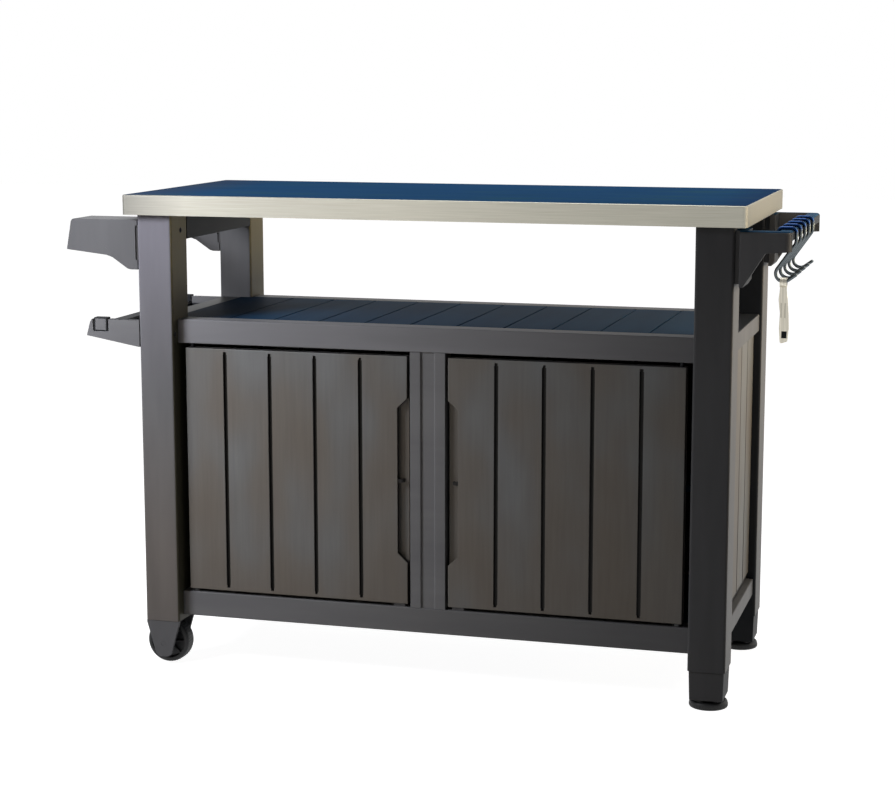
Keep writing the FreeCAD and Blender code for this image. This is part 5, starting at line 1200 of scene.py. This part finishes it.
# %% Lights
LAMPS = (
    # name, place, aimed at, size, power, spread in degrees, colour
    ("key", (-1.18, -1.06, 1.3), (-0.6, -0.2, 0.65), 0.5, 6.8, 90, "f4f6ff"),
    ("fill", (-0.9, -2.4, 0.5), (-0.3, -0.2, 0.4), 0.6, 0.7, 60, "ffeede"),
    ("overhead", (0.1, 0.35, 2.6), (0.1, 0.1, 0.9), 1.5, 30, 180, "ffffff"),
    ("side_low", (2.2, 0.7, 0.8), (-0.4, -0.1, 0.77), 0.5, 1.5, 50, "ffe6b8"),
    ("side_high", (1.25, 0.0, 1.1), (0.6, 0.0, 0.75), 0.4, 1.5, 90, "ffeed6"))


def softbox(name, location, target, size, power, spread, colour):
    """A square lamp that faces a point and lights within a spread of so many degrees."""
    data = bpy.data.lights.new(name, "AREA")
    data.shape = "SQUARE"
    data.size = size
    data.energy = power
    data.spread = math.radians(spread)
    data.color = linear(colour)[:3]
    lamp = bpy.data.objects.new(name, data)
    lamp.location = location
    lamp.visible_camera = False
    lamp.rotation_euler = (Vector(target) - Vector(location)).to_track_quat("-Z", "Y").to_euler()
    bpy.context.scene.collection.objects.link(lamp)


for lamp in LAMPS:
    softbox(*lamp)
print("lamps:", [light.name for light in bpy.data.lights])

# %% [markdown]
# ## The world
#
# The world stands for the white walls of the studio. For the camera it is plain white. What the
# metal mirrors is white behind the cart and dimmer in front of it, where the dark camera side of a
# studio is. As light on the cart it is faint, and stronger from behind than from in front, which
# keeps the fronts to the lamps. Light Path tells these three uses apart, and the ray's direction
# tells behind from in front.

# %% World
MIRRORED = {"From Min": -0.35, "From Max": 0.1, "To Min": 0.42, "To Max": 1.0}
LIGHTING = {"From Min": -0.1, "From Max": 0.7, "To Min": 0.02, "To Max": 0.6}
world = bpy.data.worlds.new("studio")
bpy.context.scene.world = world
world.use_nodes = True
sky = world.node_tree
sky.nodes.clear()
rays = add_node(sky, "ShaderNodeLightPath").outputs
seen = add_node(sky, MATHS, {0: rays["Is Camera Ray"], 1: rays["Is Transmission Ray"]}, operation="MAXIMUM")
seen = add_node(sky, MATHS, {0: seen, 1: rays["Is Glossy Ray"]}, operation="MAXIMUM")
direction = add_node(sky, "ShaderNodeTexCoord")
heading = add_node(sky, "ShaderNodeSeparateXYZ", {"Vector": direction.outputs["Generated"]}).outputs["Y"]
mirrored_level = add_node(sky, "ShaderNodeMapRange", {"Value": heading, **MIRRORED})
lighting_level = add_node(sky, "ShaderNodeMapRange", {"Value": heading, **LIGHTING})
seen_level = add_node(sky, MATHS, {0: rays["Is Camera Ray"], 1: mirrored_level}, operation="MAXIMUM")
walls = add_node(sky, "ShaderNodeBackground", {"Color": linear("ffffff"), "Strength": lighting_level})
backdrop = add_node(sky, "ShaderNodeBackground", {"Color": linear("ffffff"), "Strength": seen_level})
mixed = add_node(sky, "ShaderNodeMixShader", {0: seen, 1: walls, 2: backdrop})
add_node(sky, "ShaderNodeOutputWorld", {"Surface": mixed})
print("world:", len(sky.nodes), "nodes")

# %% [markdown]
# ## The floor
#
# The floor is a sheet of matt white paper, so wide that its edge never shows. A glow that only the
# camera and mirroring surfaces see brings it to the white of the background, and the paper's own
# colour still takes the soft shadow under the wheels and feet.

# %% Floor
HALF_FLOOR = 14
FLOOR_GLOW = 0.95
floor_mesh = bpy.data.meshes.new("floor")
corners = [(x * HALF_FLOOR, y * HALF_FLOOR, 0) for x, y in ((-1, -1), (1, -1), (1, 1), (-1, 1))]
floor_mesh.from_pydata(corners, [], [(0, 1, 2, 3)])
floor = bpy.data.objects.new("floor", floor_mesh)
bpy.context.scene.collection.objects.link(floor)
paper, paper_tree, paper_shader = new_material("white_paper_floor", Roughness=0.9, Specular_IOR_Level=0.0)
paper_shader.inputs["Base Color"].default_value = linear("b4b4b4")
floor_rays = add_node(paper_tree, "ShaderNodeLightPath").outputs
looked_at = add_node(paper_tree, MATHS, {0: floor_rays["Is Camera Ray"], 1: floor_rays["Is Glossy Ray"]},
                     operation="MAXIMUM")
glow = add_node(paper_tree, MATHS, {0: looked_at, 1: FLOOR_GLOW}, operation="MULTIPLY")
light_floor = add_node(paper_tree, "ShaderNodeEmission", {"Color": linear("ffffff"), "Strength": glow})
both = add_node(paper_tree, "ShaderNodeAddShader", {0: paper_shader, 1: light_floor})
paper_tree.links.new(both.outputs[0], paper_tree.nodes["Material Output"].inputs["Surface"])
floor_mesh.materials.append(paper)
print("floor", 2 * HALF_FLOOR, "m square")

# %% [markdown]
# ## Finish
#
# The standard view shows colours as they are written.

# %% Finish
bpy.context.scene.view_settings.view_transform = "Standard"
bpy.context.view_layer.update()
